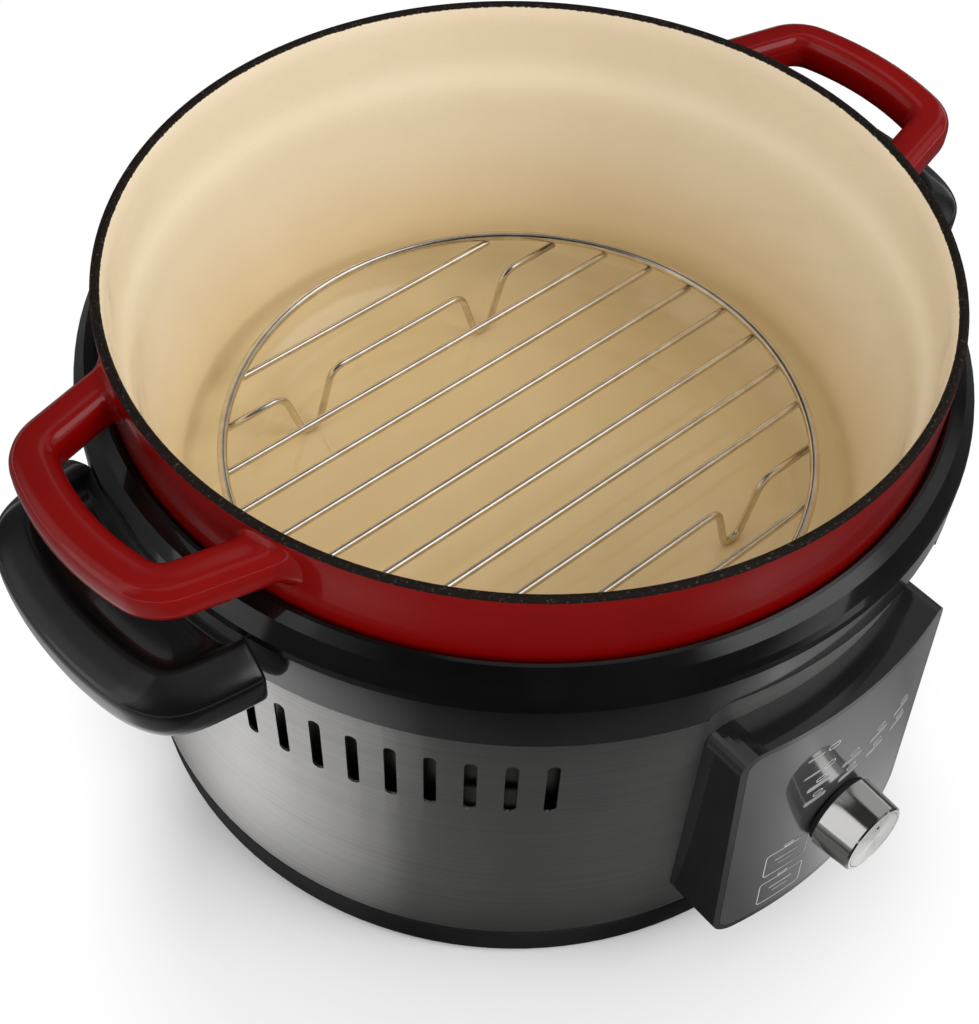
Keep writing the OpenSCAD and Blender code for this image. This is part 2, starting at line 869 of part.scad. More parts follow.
// The four standoffs under the board's corners
module at_standoffs(z) {
    for (x = [-1, 1])
        for (y = [-1, 1])
            translate([board_x + x * (board_w / 2 - 5), y * (board_l / 2 - 5), z])
                children();
}

module power_board() {
    color("darkgreen")
        difference() {
            union() {
                translate([board_x - board_w / 2, -board_l / 2, board_z])
                    cube([board_w, board_l, board_t]);
                at_standoffs(pan_top_z)
                    cylinder(h = standoff_h + 0.1, r = 3);
            }
            at_standoffs(pan_top_z + 2)
                cylinder(h = standoff_h + board_t, r = 1.4, $fn = 24);
        }
}

module transformer() {
    color([0.25, 0.22, 0.12])
        translate([board_x, -20, board_z + board_t])
            union() {
                translate([-coil_w / 2 - 4, -coil_l / 2 + 3, 0])
                    cube([coil_w + 8, coil_l - 6, coil_h + 8]);
                translate([-coil_w / 2, -coil_l / 2, 4])
                    cube([coil_w, coil_l, coil_h]);
            }
}

module relay() {
    color("royalblue")
        translate([board_x + 6 - relay_w / 2, 18 - relay_l / 2, board_z + board_t])
            cube([relay_w, relay_l, relay_h]);
}

module terminal_block() {
    color("ivory")
        difference() {
            translate([-block_w / 2, lead_end_y - block_l / 2, pan_top_z])
                cube([block_w, block_l, block_h]);
            for (x = [-15, -5, 5, 15])
                translate([x, lead_end_y, pan_top_z + 4])
                    cylinder(h = block_h, r = lead_r + 1, $fn = 24);
        }
}

module thermal_fuse() {
    color("gainsboro")
        translate([0, -62, liner_floor_z])
            union() {
                translate([-16, -6, -1])
                    cube([32, 12, 1]);
                translate([0, 0, -8])
                    cylinder(h = 7.1, r = 6);
            }
}

module heater_leads() {
    route = [
        [terminal_y, shield_z - 6],
        [terminal_y, shield_z - 14],
        [lead_end_y, pan_top_z + 20],
        [lead_end_y, pan_top_z + 5]
    ];
    color("white")
        for (x = [-15, 15])
            translate([x, 0, 0])
                rotate(90)
                    wire(bent(route, 3), lead_r);
}

// The gland is where the mains lead enters
module cord_gland() {
    color([0.08, 0.08, 0.08])
        translate([0, shell_in_r - 3, gland_z])
            rotate([-90, 0, 0])
                difference() {
                    union() {
                        cylinder(h = gland_reach - shell_in_r + 3, r = gland_r);
                        translate([0, 0, shell_r - shell_in_r + 3.1])
                            cylinder(h = gland_reach - shell_r - 0.1, r = gland_r + 3);
                        translate([0, 0, 0])
                            cylinder(h = 2.4, r = gland_r + 2);
                    }
                    translate([0, 0, -1])
                        cylinder(h = 30, r = gland_bore_r);
                }
}

// Control panel

// The upright outline of the panel, drawn in by i
module panel_outline(i) {
    h = panel_top_z - panel_low_z;
    translate([0, -shell_r + 30, (panel_low_z + panel_top_z) / 2])
        rotate([90, 0, 0])
            linear_extrude(height = 60)
                polygon(round_rect(2 * (panel_half_w - i), h - 2 * i, panel_corner_r - min(i, panel_corner_r - 2), 8));
}

// The body between two leaning faces, each d inside the panel's face
module face_band(outer_d, inner_r0, inner_r1) {
    z0 = panel_low_z - 5;
    z1 = panel_top_z + 5;
    rotate(-125)
        rotate_extrude(angle = 70, $fn = 180)
            polygon([
                [inner_r0, z0], [face_r(z0) - outer_d, z0],
                [face_r(z1) - outer_d, z1], [inner_r1, z1]
            ]);
}

module at_knob() {
    translate([0, -face_r(knob_z), knob_z])
        rotate([90 - lean, 0, 0])
            children();
}

module panel_housing() {
    lens_back = lens_t + 0.1;
    inner_d = lens_back + wall - 0.4;
    z0 = panel_low_z - 5;
    z1 = panel_top_z + 5;
    color([0.05, 0.05, 0.06])
        difference() {
            union() {
                difference() {
                    intersection() {
                        face_band(0, panel_back_r, panel_back_r);
                        panel_outline(0);
                    }
                    intersection() {
                        face_band(-3, face_r(z0) - lens_back, face_r(z1) - lens_back);
                        panel_outline(lens_border);
                    }
                    intersection() {
                        face_band(inner_d, panel_back_r - 5, panel_back_r - 5);
                        panel_outline(wall);
                    }
                }
                intersection() {
                    panel_screw_holes(4, shell_r - 4, shell_r + 30);
                    face_band(inner_d - 0.2, panel_back_r, panel_back_r);
                }
            }
            panel_screw_holes(screw_r, shell_r - 10, shell_r + 6);
            at_knob()
                translate([0, 0, -12])
                    cylinder(h = 20, r = 5.2);
        }
}

module panel_lens() {
    z0 = panel_low_z - 5;
    z1 = panel_top_z + 5;
    color([0.12, 0.12, 0.13])
        difference() {
            intersection() {
                face_band(0, face_r(z0) - lens_t, face_r(z1) - lens_t);
                panel_outline(lens_border + 0.15);
            }
            at_knob()
                translate([0, 0, -12])
                    cylinder(h = 20, r = 5.2);
        }
}

module panel_screws() {
    head_y = sqrt(pow(shell_in_r, 2) - pow(panel_screw_x + screw_head_r, 2)) - 0.2;
    color("silver")
        for (x = [-panel_screw_x, panel_screw_x])
            for (z = panel_screw_z)
                translate([x, -head_y + screw_head_h, z])
                    rotate([90, 0, 0])
                        union() {
                            cylinder(h = screw_head_h, r = screw_head_r, $fn = 24);
                            cylinder(h = shell_r + 5.5 - head_y + screw_head_h, r = screw_r - 0.05, $fn = 24);
                        }
}

module control_board() {
    color("darkgreen")
        at_knob()
            difference() {
                translate([-pcb_w / 2, pcb_up - pcb_h / 2, -pcb_d - pcb_t])
                    cube([pcb_w, pcb_h, pcb_t]);
                for (y = [-pcb_h / 2 + 4, pcb_h / 2 - 4])
                    translate([0, pcb_up + y, -pcb_d - pcb_t - 1])
                        cylinder(h = 4, r = 1.6, $fn = 24);
            }
}

// Posts that hold the board off the housing's inner wall
module board_posts() {
    color([0.05, 0.05, 0.06])
        at_knob()
            for (y = [-pcb_h / 2 + 4, pcb_h / 2 - 4])
                translate([0, pcb_up + y, -pcb_d])
                    union() {
                        cylinder(h = pcb_d - inner_wall_d - 0.1, r = 3.2);
                        translate([0, 0, -pcb_t - 0.6])
                            cylinder(h = 4, r = 1.5, $fn = 24);
                    }
}

module display_module() {
    color([0.2, 0.05, 0.05])
        at_knob()
            translate([pcb_w / 2 - display_w, pcb_up + pcb_h / 2 - display_h - 6, -pcb_d])
                cube([display_w, display_h, display_t]);
}

module touch_springs() {
    color("silver")
        at_knob()
            for (y = key_up)
                translate([key_x, y, -pcb_d])
                    difference() {
                        cylinder(h = encoder_h - 1.6, r = 4);
                        translate([0, 0, -1])
                            cylinder(h = encoder_h + 2, r = 3.4);
                    }
}

module encoder() {
    color("dimgray")
        at_knob()
            difference() {
                union() {
                    translate([-6, -6, -pcb_d])
                        cube([12, 12, encoder_h]);
                    translate([0, 0, -pcb_d])
                        cylinder(h = pcb_d - 0.4, r = 4.5);
                }
                translate([0, 0, -pcb_d + 1])
                    cylinder(h = 20, r = shaft_r + run_gap);
            }
}

// Knob

module knob_shaft() {
    color("silver")
        at_knob()
            translate([0, 0, -pcb_d + 1.2])
                cylinder(h = pcb_d - 1.2 + knob_l - 5, r = shaft_r);
}

module knob_base() {
    color([0.03, 0.03, 0.03])
        at_knob()
            translate([0, 0, 0.6])
                difference() {
                    cylinder(h = 1.4, r = knob_r - 0.9);
                    translate([0, 0, -1])
                        cylinder(h = 4, r = shaft_r);
                }
}

module knob_cap() {
    color("gainsboro")
        at_knob()
            difference() {
                rotate_extrude()
                    polygon([
                        [0, 2], [knob_r - 0.5, 2], [knob_r, 2.5], [knob_front_r + 0.1, knob_l - 0.6],
                        [knob_front_r - 0.5, knob_l], [knob_front_r - 1.4, knob_l], [knob_front_r - 1.6, knob_l - 0.7],
                        [0, knob_l - 0.7]
                    ]);
                cylinder(h = knob_l - 5, r = shaft_r);
            }
}

module knob_disc() {
    color("white")
        at_knob()
            difference() {
                translate([0, 0, knob_l - 0.7])
                    cylinder(h = 0.7, r = knob_front_r - 1.65);
                translate([0, 6.5, knob_l + 0.5])
                    sphere(r = 1.2, $fn = 24);
            }
}

// Pot

function pot_inside() = concat(
    [[0, pot_floor_z], [floor_in_r - pot_corner_r, pot_floor_z]],
    arc([floor_in_r - pot_corner_r, pot_floor_z + pot_corner_r], pot_corner_r, -75, -5, 6),
    [
        [low_in_r - 1.2, shoulder_z - 22], [low_in_r - 0.2, shoulder_z - 10], [low_in_r + 0.9, shoulder_z - 4],
        [wall_in_r - 1, shoulder_z + 1], [wall_in_r, shoulder_z + 6], [wall_in_r + 0.5, rim_z - 6],
        [rim_in_r - 0.2, rim_z - 0.8], [rim_in_r + 0.6, rim_z]
    ]
);

function pot_outside() = [
    [pot_r - 0.4, rim_z], [pot_r, rim_z - 0.6], [pot_r + 0.3, rim_z - 5], [pot_r, collar_top_z - 3],
    [pot_r - 1.2, collar_top_z - 8], [wall_in_r - shoulder_step + pot_wall, shoulder_z - 18],
    [floor_in_r + pot_wall, pot_floor_z + 14], [floor_in_r + pot_wall - 4, pot_low_z + 8],
    [floor_in_r - 4, pot_low_z + 1.5], [floor_in_r - 7, pot_low_z], [0, pot_low_z]
];

// One cast loop handle: a bowed bar, two bends and two splayed legs, all of one rounded section
module ear() {
    section = round_rect(ear_bar_w, ear_bar_h, ear_edge_r, 4);
    bar_section = round_rect(ear_bar_w + 2 * ear_lap, ear_bar_h + 2 * ear_lap, ear_edge_r, 4);
    bar_at = ear_bend_at + ear_lap_at;
    mid_r = ear_corner_r - ear_bar_w / 2;
    leg_end_x = ear_bend_x + mid_r * sin(ear_splay);
    leg_end_y = ear_bend_y + mid_r * cos(ear_splay);
    leg_l = (leg_end_x - pot_r + 12) / cos(ear_splay);
    translate([0, 0, ear_mid_z])
        union() {
            translate([ear_bow_x, 0, 0])
                rotate([0, 0, -bar_at])
                    rotate_extrude(angle = 2 * bar_at, $fn = 360)
                        translate([ear_bow_r - ear_bar_w / 2, 0])
                            polygon(bar_section);
            for (s = [-1, 1])
                mirror([0, s < 0 ? 1 : 0, 0]) {
                    translate([ear_bend_x, ear_bend_y, 0])
                        rotate([0, 0, ear_bend_at])
                            rotate_extrude(angle = 90 - ear_splay - ear_bend_at, $fn = 64)
                                translate([mid_r, 0])
                                    polygon(section);
                    translate([leg_end_x, leg_end_y, 0])
                        rotate([90, 0, 270 - ear_splay])
                            linear_extrude(height = leg_l)
                                polygon(section);
                    ear_root();
                }
        }
}

// Outer and inner side of a leg, seen from above
function leg_out(x) = ear_bend_y + ear_corner_r * cos(ear_splay)
    + (ear_bend_x + ear_corner_r * sin(ear_splay) - x) * tan(ear_splay);
function leg_in(x) = leg_out(x) - ear_bar_w / cos(ear_splay);

// The leg widens in a hollow curve where it meets the wall
module ear_root() {
    out_x = pot_r + 13;
    wall_x = 100;
    hollow_r = 5;
    hollow_x = pot_r + 4;
    translate([0, 0, -ear_bar_h / 2 + 1.5])
        linear_extrude(height = ear_bar_h - 3)
            polygon(concat(
                [[wall_x, leg_in(pot_r) - 4], [pot_r - 2, leg_in(pot_r) - 4]],
                arc([hollow_x, leg_in(hollow_x) - hollow_r], hollow_r, 160, 90, 5),
                [[out_x, leg_in(out_x) + 1], [out_x, leg_out(out_x) - 0.6]],
                [for (t = [0.15:0.15:0.9])
                    let (x = out_x - 20 * t) [x, leg_out(x) - 0.6 + ear_flare * t * t]],
                [[wall_x, leg_out(out_x - 20) + ear_flare]]
            ));
}

module pot() {
    color([0.55, 0.03, 0.03])
        difference() {
            union() {
                rotate_extrude($fn = 180)
                    polygon(concat(pot_outside(), [[0, rim_z]]));
                ear();
                mirror([1, 0, 0])
                    ear();
            }
            rotate_extrude($fn = 180)
                polygon(concat(pot_inside(), [[rim_in_r + 0.6, rim_z + 1], [0, rim_z + 1]]));
        }
}

// Rack

module rack_ring() {
    color("silver")
        rotate_extrude($fn = 120)
            translate([rack_r, rack_ring_z])
                circle(r = ring_wire_d / 2, $fn = 24);
}

function bar_half(k) = sqrt(pow(rack_r, 2) - pow(k * bar_pitch, 2));

module rack_bars() {
    color("silver")
        for (k = [-bar_side_count:bar_side_count])
            if (abs(k) != leg_bar_index)
                rod([-bar_half(k), k * bar_pitch, rack_bar_z], [bar_half(k), k * bar_pitch, rack_bar_z], bar_wire_d / 2);
}

// A leg bar runs straight, dips to the floor twice with a round foot and runs on
module rack_legs() {
    wire_r = bar_wire_d / 2;
    low_z = rack_bar_z - leg_h;
    foot_half_w = 0.85 * leg_foot_r;
    bends = [leg_top_bend_r, leg_foot_r, leg_foot_r, leg_top_bend_r];
    function dip(x) = [
        [x - leg_half_w, rack_bar_z],
        [x - foot_half_w, low_z],
        [x + foot_half_w, low_z],
        [x + leg_half_w, rack_bar_z]
    ];
    color("silver")
        for (k = [-leg_bar_index, leg_bar_index])
            translate([0, k * bar_pitch, 0])
                wire(bent(concat(
                    [[-bar_half(k), rack_bar_z]],
                    dip(-leg_place), dip(leg_place),
                    [[bar_half(k), rack_bar_z]]
                ), concat(bends, bends)), wire_r);
}

seated() feet();
seated() base_screws();
seated() base_pan();
seated() base_ring();
seated() steel_shell();
seated() collar();
seated() handle_left();
seated() handle_right();
seated() handle_screws();
seated() liner();
seated() liner_screws();
seated() heat_shield();
seated() tie_rods();
seated() rod_nuts();
seated() shield_bracket();
seated() hot_plate();
seated() plate_studs();
seated() heating_element();
seated() sensor_holder();
seated() sensor_spring();
seated() sensor_cap();
seated() power_board();
seated() transformer();
seated() relay();
seated() terminal_block();
seated() thermal_fuse();
seated() heater_leads();
seated() cord_gland();
seated() panel_housing();
seated() panel_lens();
seated() panel_screws();
seated() control_board();
seated() board_posts();
seated() display_module();
seated() touch_springs();
seated() encoder();
seated() knob_shaft();
seated() knob_base();
seated() knob_cap();
seated() knob_disc();
seated() pot();
seated() rack_ring();
seated() rack_bars();
seated() rack_legs();
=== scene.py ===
import json
import math

import bmesh
import bpy
from mathutils import Matrix, Vector

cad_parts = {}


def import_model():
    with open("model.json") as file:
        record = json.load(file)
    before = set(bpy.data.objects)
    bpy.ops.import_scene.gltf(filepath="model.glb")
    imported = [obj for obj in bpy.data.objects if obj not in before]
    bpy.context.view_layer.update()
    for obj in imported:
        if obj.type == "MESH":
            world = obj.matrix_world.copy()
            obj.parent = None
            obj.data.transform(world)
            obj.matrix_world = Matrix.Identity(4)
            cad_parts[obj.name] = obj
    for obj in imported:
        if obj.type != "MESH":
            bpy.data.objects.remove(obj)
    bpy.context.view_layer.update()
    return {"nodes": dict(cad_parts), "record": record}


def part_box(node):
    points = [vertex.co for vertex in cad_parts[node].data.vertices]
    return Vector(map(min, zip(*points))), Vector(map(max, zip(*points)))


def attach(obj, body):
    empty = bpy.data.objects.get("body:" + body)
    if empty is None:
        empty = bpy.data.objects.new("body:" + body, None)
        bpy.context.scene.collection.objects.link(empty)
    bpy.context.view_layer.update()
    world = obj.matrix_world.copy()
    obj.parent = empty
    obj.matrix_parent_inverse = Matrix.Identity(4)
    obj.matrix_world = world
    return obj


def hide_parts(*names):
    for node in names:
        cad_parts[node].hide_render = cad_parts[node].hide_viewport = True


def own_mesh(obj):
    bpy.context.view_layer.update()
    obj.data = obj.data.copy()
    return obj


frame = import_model()
MM = 0.001

# The height of the top of the base's side handles, in millimetres
GRIP_TOP = 160.5

# Places that several pieces share, worked out from the frame
COLLAR_LOW, COLLAR_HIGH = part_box("collar")
AXIS_Y = (COLLAR_LOW.y + COLLAR_HIGH.y) / 2  # the pot's axis stands at x 0
RIM_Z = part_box("pot")[1].z


# Colours and shader sums

BLACK = (0.0, 0.0, 0.0, 1.0)
WHITE = (1.0, 1.0, 1.0, 1.0)


def grey(light):
    """An even grey by the share of light that it gives back."""
    return light, light, light, 1.0


def tone(red, green, blue):
    """A colour given in 0 to 255 steps of a screen, as the linear values that a shader takes."""
    def linear(step):
        share = step / 255
        return share / 12.92 if share <= 0.04045 else ((share + 0.055) / 1.055) ** 2.4
    return linear(red), linear(green), linear(blue), 1.0


def shade(step):
    """An even grey given in 0 to 255 steps of a screen."""
    return tone(step, step, step)


# Which output of a node gives what is asked for
OBJECT_PLACE = 3
RAY_WAY = 0
FACE_NORMAL = 1
MIXED_COLOR = 2


class Wire:
    """The output of a shader node, which takes part in Python sums."""

    def __init__(self, tree, socket):
        self.tree = tree
        self.socket = socket

    def sum(self, operation, *values):
        return self.tree.node("ShaderNodeMath", {"operation": operation}, values)

    def __add__(self, other):
        return self.sum("ADD", self, other)

    def __sub__(self, other):
        return self.sum("SUBTRACT", self, other)

    def __mul__(self, other):
        return self.sum("MULTIPLY", self, other)

    def __truediv__(self, other):
        return self.sum("DIVIDE", self, other)

    def __pow__(self, other):
        return self.sum("POWER", self, other)

    def __rsub__(self, other):
        return self.sum("SUBTRACT", other, self)

    def __rtruediv__(self, other):
        return self.sum("DIVIDE", other, self)

    __radd__ = __add__
    __rmul__ = __mul__

    def least(self, other):
        return self.sum("MINIMUM", self, other)

    def most(self, other):
        return self.sum("MAXIMUM", self, other)

    def wave(self):
        return self.sum("SINE", self)

    def rise(self, low, high):
        """0 up to low and 1 from high, with a smooth climb between."""
        ends = {"Value": self, "From Min": low, "From Max": high, "To Min": 0.0, "To Max": 1.0}
        return self.tree.node("ShaderNodeMapRange", {"interpolation_type": "SMOOTHSTEP"}, ends)


class Tree:
    """A node tree that is written in Python sums."""

    def __init__(self, tree):
        self.tree = tree

    def feed(self, socket, value):
        if isinstance(value, Wire):
            self.tree.links.new(value.socket, socket)
        else:
            socket.default_value = value

    def node(self, kind, settings=None, inputs=(), output=0):
        """A node of a kind, with its settings made first and then the values or links of its sockets."""
        made = self.tree.nodes.new(kind)
        for name, value in (settings or {}).items():
            if name == "stops":
                ramp = made.color_ramp
                while len(ramp.elements) < len(value):
                    ramp.elements.new(0.5)
                for element, (place, color) in zip(ramp.elements, value):
                    element.position = place
                    element.color = color
            else:
                setattr(made, name, value)
        for name, value in inputs.items() if isinstance(inputs, dict) else enumerate(inputs):
            self.feed(made.inputs[name], value)
        return Wire(self, made.outputs[output])

    def place(self):
        """The point's place in metres. An object sits at the origin, so its own place is the frame's."""
        return self.node("ShaderNodeTexCoord", output=OBJECT_PLACE)

    def way(self):
        """The way that a ray of the world goes."""
        return self.node("ShaderNodeTexCoord", output=RAY_WAY)

    def face(self):
        """The way that the surface faces."""
        return self.node("ShaderNodeNewGeometry", output=FACE_NORMAL)

    def axes(self, vector=None):
        split = self.node("ShaderNodeSeparateXYZ", inputs=[vector or self.place()])
        outputs = split.socket.node.outputs
        return [Wire(self, outputs[k]) for k in range(3)]

    def stretched(self, x, y, z):
        return self.node("ShaderNodeVectorMath", {"operation": "MULTIPLY"}, [self.place(), (x, y, z)])

    def noise(self, scale, detail=2.0, vector=None, roughness=0.5):
        inputs = {"Vector": vector or self.place(), "Scale": scale, "Detail": detail, "Roughness": roughness}
        return self.node("ShaderNodeTexNoise", inputs=inputs)

    def specks(self, scale, vector=None):
        """Distance to the nearest of many scattered points, in units of their spacing."""
        return self.node("ShaderNodeTexVoronoi", inputs={"Vector": vector or self.place(), "Scale": scale})

    def mix(self, factor, first, second):
        """A colour between two, by the sockets that the Mix node has for colours."""
        inputs = {0: factor, 6: first, 7: second}
        return self.node("ShaderNodeMix", {"data_type": "RGBA"}, inputs, output=MIXED_COLOR)

    def patches(self, cloud, dark, light):
        """A colour that wanders between two by a noise."""
        return self.mix(cloud.rise(0.3, 0.7), dark, light)

    def about_axis(self):
        """The place as x, distance behind the pot's axis and height, and the distance from that axis."""
        x, y, z = self.axes()
        behind = y - AXIS_Y
        return x, behind, z, (x * x + behind * behind) ** 0.5


class Paint(Tree):
    """A finish on one Principled shader."""

    def __init__(self, name, color, roughness, metallic=0.0, **sockets):
        self.material = bpy.data.materials.new(name)
        self.material.use_nodes = True
        super().__init__(self.material.node_tree)
        self.shader = self.tree.nodes["Principled BSDF"]
        self.set(Base_Color=color, Roughness=roughness, Metallic=metallic, **sockets)

    def set(self, **sockets):
        """Gives the shader's sockets their values or links, with _ for a space in a name."""
        for name, value in sockets.items():
            self.feed(self.shader.inputs[name.replace("_", " ")], value)

    def bump(self, height, distance, strength=1.0):
        self.set(Normal=self.node("ShaderNodeBump", inputs={
            "Height": height, "Distance": distance, "Strength": strength}))

    def show(self, shader):
        """Shows another shader in place of the Principled one. It isn't sampled as a lamp."""
        self.feed(self.tree.nodes["Material Output"].inputs["Surface"], shader)
        self.material.cycles.emission_sampling = "NONE"


# Finishes


def grained(name, dark, light, roughness, metallic=0.0, scale=300.0, depth=0.02, spread=0.1, **sockets):
    """A finish whose colour and roughness wander a little, over a fine grain."""
    paint = Paint(name, light, roughness, metallic, **sockets)
    cloud = paint.noise(scale * 0.1, 3.0)
    grain = paint.noise(scale, 4.0)
    paint.set(Base_Color=paint.mix(cloud.rise(0.35, 0.65), dark, light))
    paint.set(Roughness=cloud * spread + (roughness - spread / 2) + grain * 0.04)
    paint.bump(grain, depth * MM)
    return paint


def pot_enamel():
    """Red outside, cream inside with painted shade towards its floor, and a bare iron rim between them."""
    rim_mid_r = 129.0 * MM
    rim_out_r = 131.4 * MM
    edge = 0.2 * MM
    paint = Paint("pot_enamel", tone(120, 6, 4), 0.3, Specular_IOR_Level=0.15, Coat_Roughness=0.04)
    x, behind, z, r = paint.about_axis()
    nx, ny, nz = paint.axes(paint.face())
    turned_in = nz - (nx * x + ny * behind) / r
    inside = turned_in.rise(-0.05, 0.05) * (1 - r.rise(rim_mid_r, rim_mid_r + edge))
    ragged = paint.noise(900.0, 4.0) * 0.9 * MM
    on_rim = 1 - r.rise(rim_out_r, rim_out_r + edge)
    bare = (z + ragged).rise(RIM_Z - 0.7 * MM, RIM_Z - 0.35 * MM) * on_rim
    cloud = paint.noise(14.0, 3.0)
    red = paint.patches(cloud, tone(109, 2, 1), tone(122, 4, 2))
    # The cream is darker and yellower towards the pot's floor: painted shade for the dimmer light deep in
    # the pot
    high = paint.patches(cloud, tone(230, 214, 186), tone(233, 219, 193))
    low = paint.patches(cloud, tone(216, 190, 140), tone(222, 198, 150))
    cream_with_depth_shade = paint.mix(z.rise(88.0 * MM, 160.0 * MM), low, high)
    pits = paint.specks(420.0)
    cream_with_depth_shade = paint.mix(0.35 * (1 - pits.rise(0.04, 0.09)), cream_with_depth_shade, tone(120, 84, 50))
    iron = paint.mix(paint.noise(1100.0, 3.0).rise(0.58, 0.74), tone(26, 20, 17), tone(70, 60, 52))
    enamel = paint.mix(inside, red, cream_with_depth_shade)
    paint.set(Base_Color=paint.mix(bare, enamel, iron))
    paint.set(Roughness=0.3 + bare * 0.3, Coat_Weight=(1 - bare) * (0.62 + inside * 0.38))
    ripple = paint.noise(120.0, 2.0)
    paint.bump(ripple * 0.05 + bare * paint.noise(1600.0, 3.0) * 0.12, 1.0 * MM)
    return paint


def brushed_steel():
    """Steel brushed round the shell."""
    paint = Paint("brushed_steel", tone(196, 194, 190), 0.34, 1.0, Anisotropic=0.85,
                  Anisotropic_Rotation=0.25)
    lines = paint.noise(1.0, 5.0, paint.stretched(9.0, 9.0, 2600.0), 0.7)
    bands = paint.noise(1.0, 2.0, paint.stretched(4.0, 4.0, 260.0))
    paint.set(Base_Color=paint.mix(lines.rise(0.3, 0.7), tone(208, 207, 205), tone(232, 231, 229)))
    paint.set(Roughness=0.27 + lines * 0.1 + bands * 0.08)
    paint.bump(lines, 0.012 * MM)
    return paint


def rack_wire():
    paint = Paint("rack_wire", tone(222, 214, 200), 0.24, 1.0)
    cloud = paint.noise(160.0, 3.0)
    paint.set(Roughness=0.18 + cloud * 0.1)
    paint.set(Base_Color=paint.patches(cloud, tone(212, 203, 188), tone(230, 223, 210)))
    return paint


def black_gloss(name, step=10, roughness=0.25):
    """A moulded black plastic with a polished skin and a faint orange peel."""
    paint = Paint(name, shade(step), roughness, Specular_IOR_Level=0.15, Coat_Weight=0.9,
                  Coat_Roughness=0.05)
    cloud = paint.noise(35.0, 3.0)
    paint.set(Base_Color=paint.patches(cloud, shade(step - 4), shade(step + 3)))
    paint.set(Roughness=cloud * 0.06 + (roughness - 0.03))
    paint.bump(paint.noise(260.0, 2.0), 0.02 * MM)
    return paint


def handle_black():
    """Moulded black, polished in the dish and satin on the raised border."""
    paint = Paint("handle_black", shade(14), 0.3, Specular_IOR_Level=0.4, Coat_Roughness=0.06)
    z = paint.axes()[2]
    border = z.rise((GRIP_TOP - 3.9) * MM, (GRIP_TOP - 2.3) * MM)
    cloud = paint.noise(35.0, 3.0)
    paint.set(Base_Color=paint.patches(cloud, shade(10), shade(17)))
    paint.set(Roughness=cloud * 0.06 + 0.27 + border * 0.16, Coat_Weight=0.9 - border * 0.55)
    paint.bump(paint.noise(260.0, 2.0), 0.02 * MM)
    return paint


def knob_chrome():
    paint = Paint("knob_chrome", tone(238, 237, 235), 0.12, 1.0)
    fine = paint.noise(1.0, 3.0, paint.stretched(60.0, 4000.0, 60.0))
    paint.set(Roughness=0.09 + fine * 0.07)
    paint.bump(fine, 0.004 * MM)
    return paint


def knob_face():
    """A spun face: fine rings about the knob's own axis."""
    paint = Paint("knob_face", tone(240, 239, 237), 0.22, 1.0)
    low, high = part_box("knob_disc")
    centre = (low + high) / 2
    x, _, z = paint.axes()
    ring_pitch = 0.32 * MM
    across = x - centre.x
    up = z - centre.z
    out = (across * across + up * up) ** 0.5
    rings = (out * (2 * math.pi / ring_pitch)).wave()
    paint.set(Roughness=0.2 + rings * 0.03)
    paint.bump(rings, 0.012 * MM)
    return paint


def lens_smoke():
    paint = Paint("lens_smoke", tone(60, 60, 61), 0.3, Specular_IOR_Level=0.15, Coat_Weight=0.9,
                  Coat_Roughness=0.03)
    cloud = paint.noise(24.0, 2.0)
    paint.set(Base_Color=paint.patches(cloud, tone(57, 57, 58), tone(63, 63, 64)))
    return paint


FINISHES = {
    "pot_enamel": pot_enamel(),
    "brushed_steel": brushed_steel(),
    "rack_wire": rack_wire(),
    "black_gloss": black_gloss("black_gloss"),
    "handle_black": handle_black(),
    "panel_gloss": black_gloss("panel_gloss", 29),
    "gland_black": grained("gland_black", shade(20), shade(28), 0.45),
    "lens_smoke": lens_smoke(),
    "display_case": grained("display_case", tone(30, 30, 32), tone(42, 42, 44), 0.4),
    "knob_chrome": knob_chrome(),
    "knob_face": knob_face(),
    "grey_plastic": grained("grey_plastic", tone(26, 26, 27), tone(34, 34, 35), 0.42, depth=0.03,
                            Specular_IOR_Level=0.3),
    "foot_rubber": grained("foot_rubber", shade(22), shade(32), 0.75, depth=0.05),
    "zinc_steel": grained("zinc_steel", tone(150, 148, 142), tone(188, 187, 182), 0.32, 1.0),
    "galvanised": grained("galvanised", tone(128, 128, 126), tone(166, 166, 163), 0.42, 1.0, scale=160.0),
    "cast_aluminium": grained("cast_aluminium", shade(150), tone(184, 184, 182), 0.46, 1.0, depth=0.06),
    "element_sheath": grained("element_sheath", tone(74, 70, 66), tone(110, 104, 98), 0.5, 1.0),
    "spring_steel": grained("spring_steel", tone(140, 138, 134), tone(182, 180, 176), 0.28, 1.0),
    "board_green": grained("board_green", tone(14, 66, 38), tone(24, 88, 52), 0.35, Coat_Weight=0.4),
    "transformer_core": grained("transformer_core", tone(48, 42, 24), tone(82, 72, 40), 0.5),
    "relay_case": grained("relay_case", tone(24, 62, 130), tone(34, 80, 156), 0.35),
    "terminal_ivory": grained("terminal_ivory", tone(214, 206, 182), tone(232, 226, 206), 0.45),
    "print_pale": grained("print_pale", shade(184), shade(202), 0.5, scale=900.0, depth=0.004),
    "print_grey": grained("print_grey", shade(136), shade(152), 0.5, scale=900.0, depth=0.004),
    "lead_sleeve": grained("lead_sleeve", tone(196, 190, 176), tone(224, 219, 207), 0.6, scale=900.0),
}


def dress_nodes():
    """Each node of the frame takes the finish that the record names for it."""
    slots = {part["node"]: part["material_slot"] for part in frame["record"]["subparts"]}
    for name, node in frame["nodes"].items():
        finish = FINISHES[slots[name]].material
        for slot in node.material_slots:
            slot.material = finish
        if not node.material_slots:
            node.data.materials.append(finish)


dress_nodes()


# Making meshes


def arc(centre, r, start, end, steps):
    """Points of an arc, with its angles in degrees."""
    turns = [math.radians(start + (end - start) * k / steps) for k in range(steps + 1)]
    return [(centre[0] + r * math.cos(t), centre[1] + r * math.sin(t)) for t in turns]


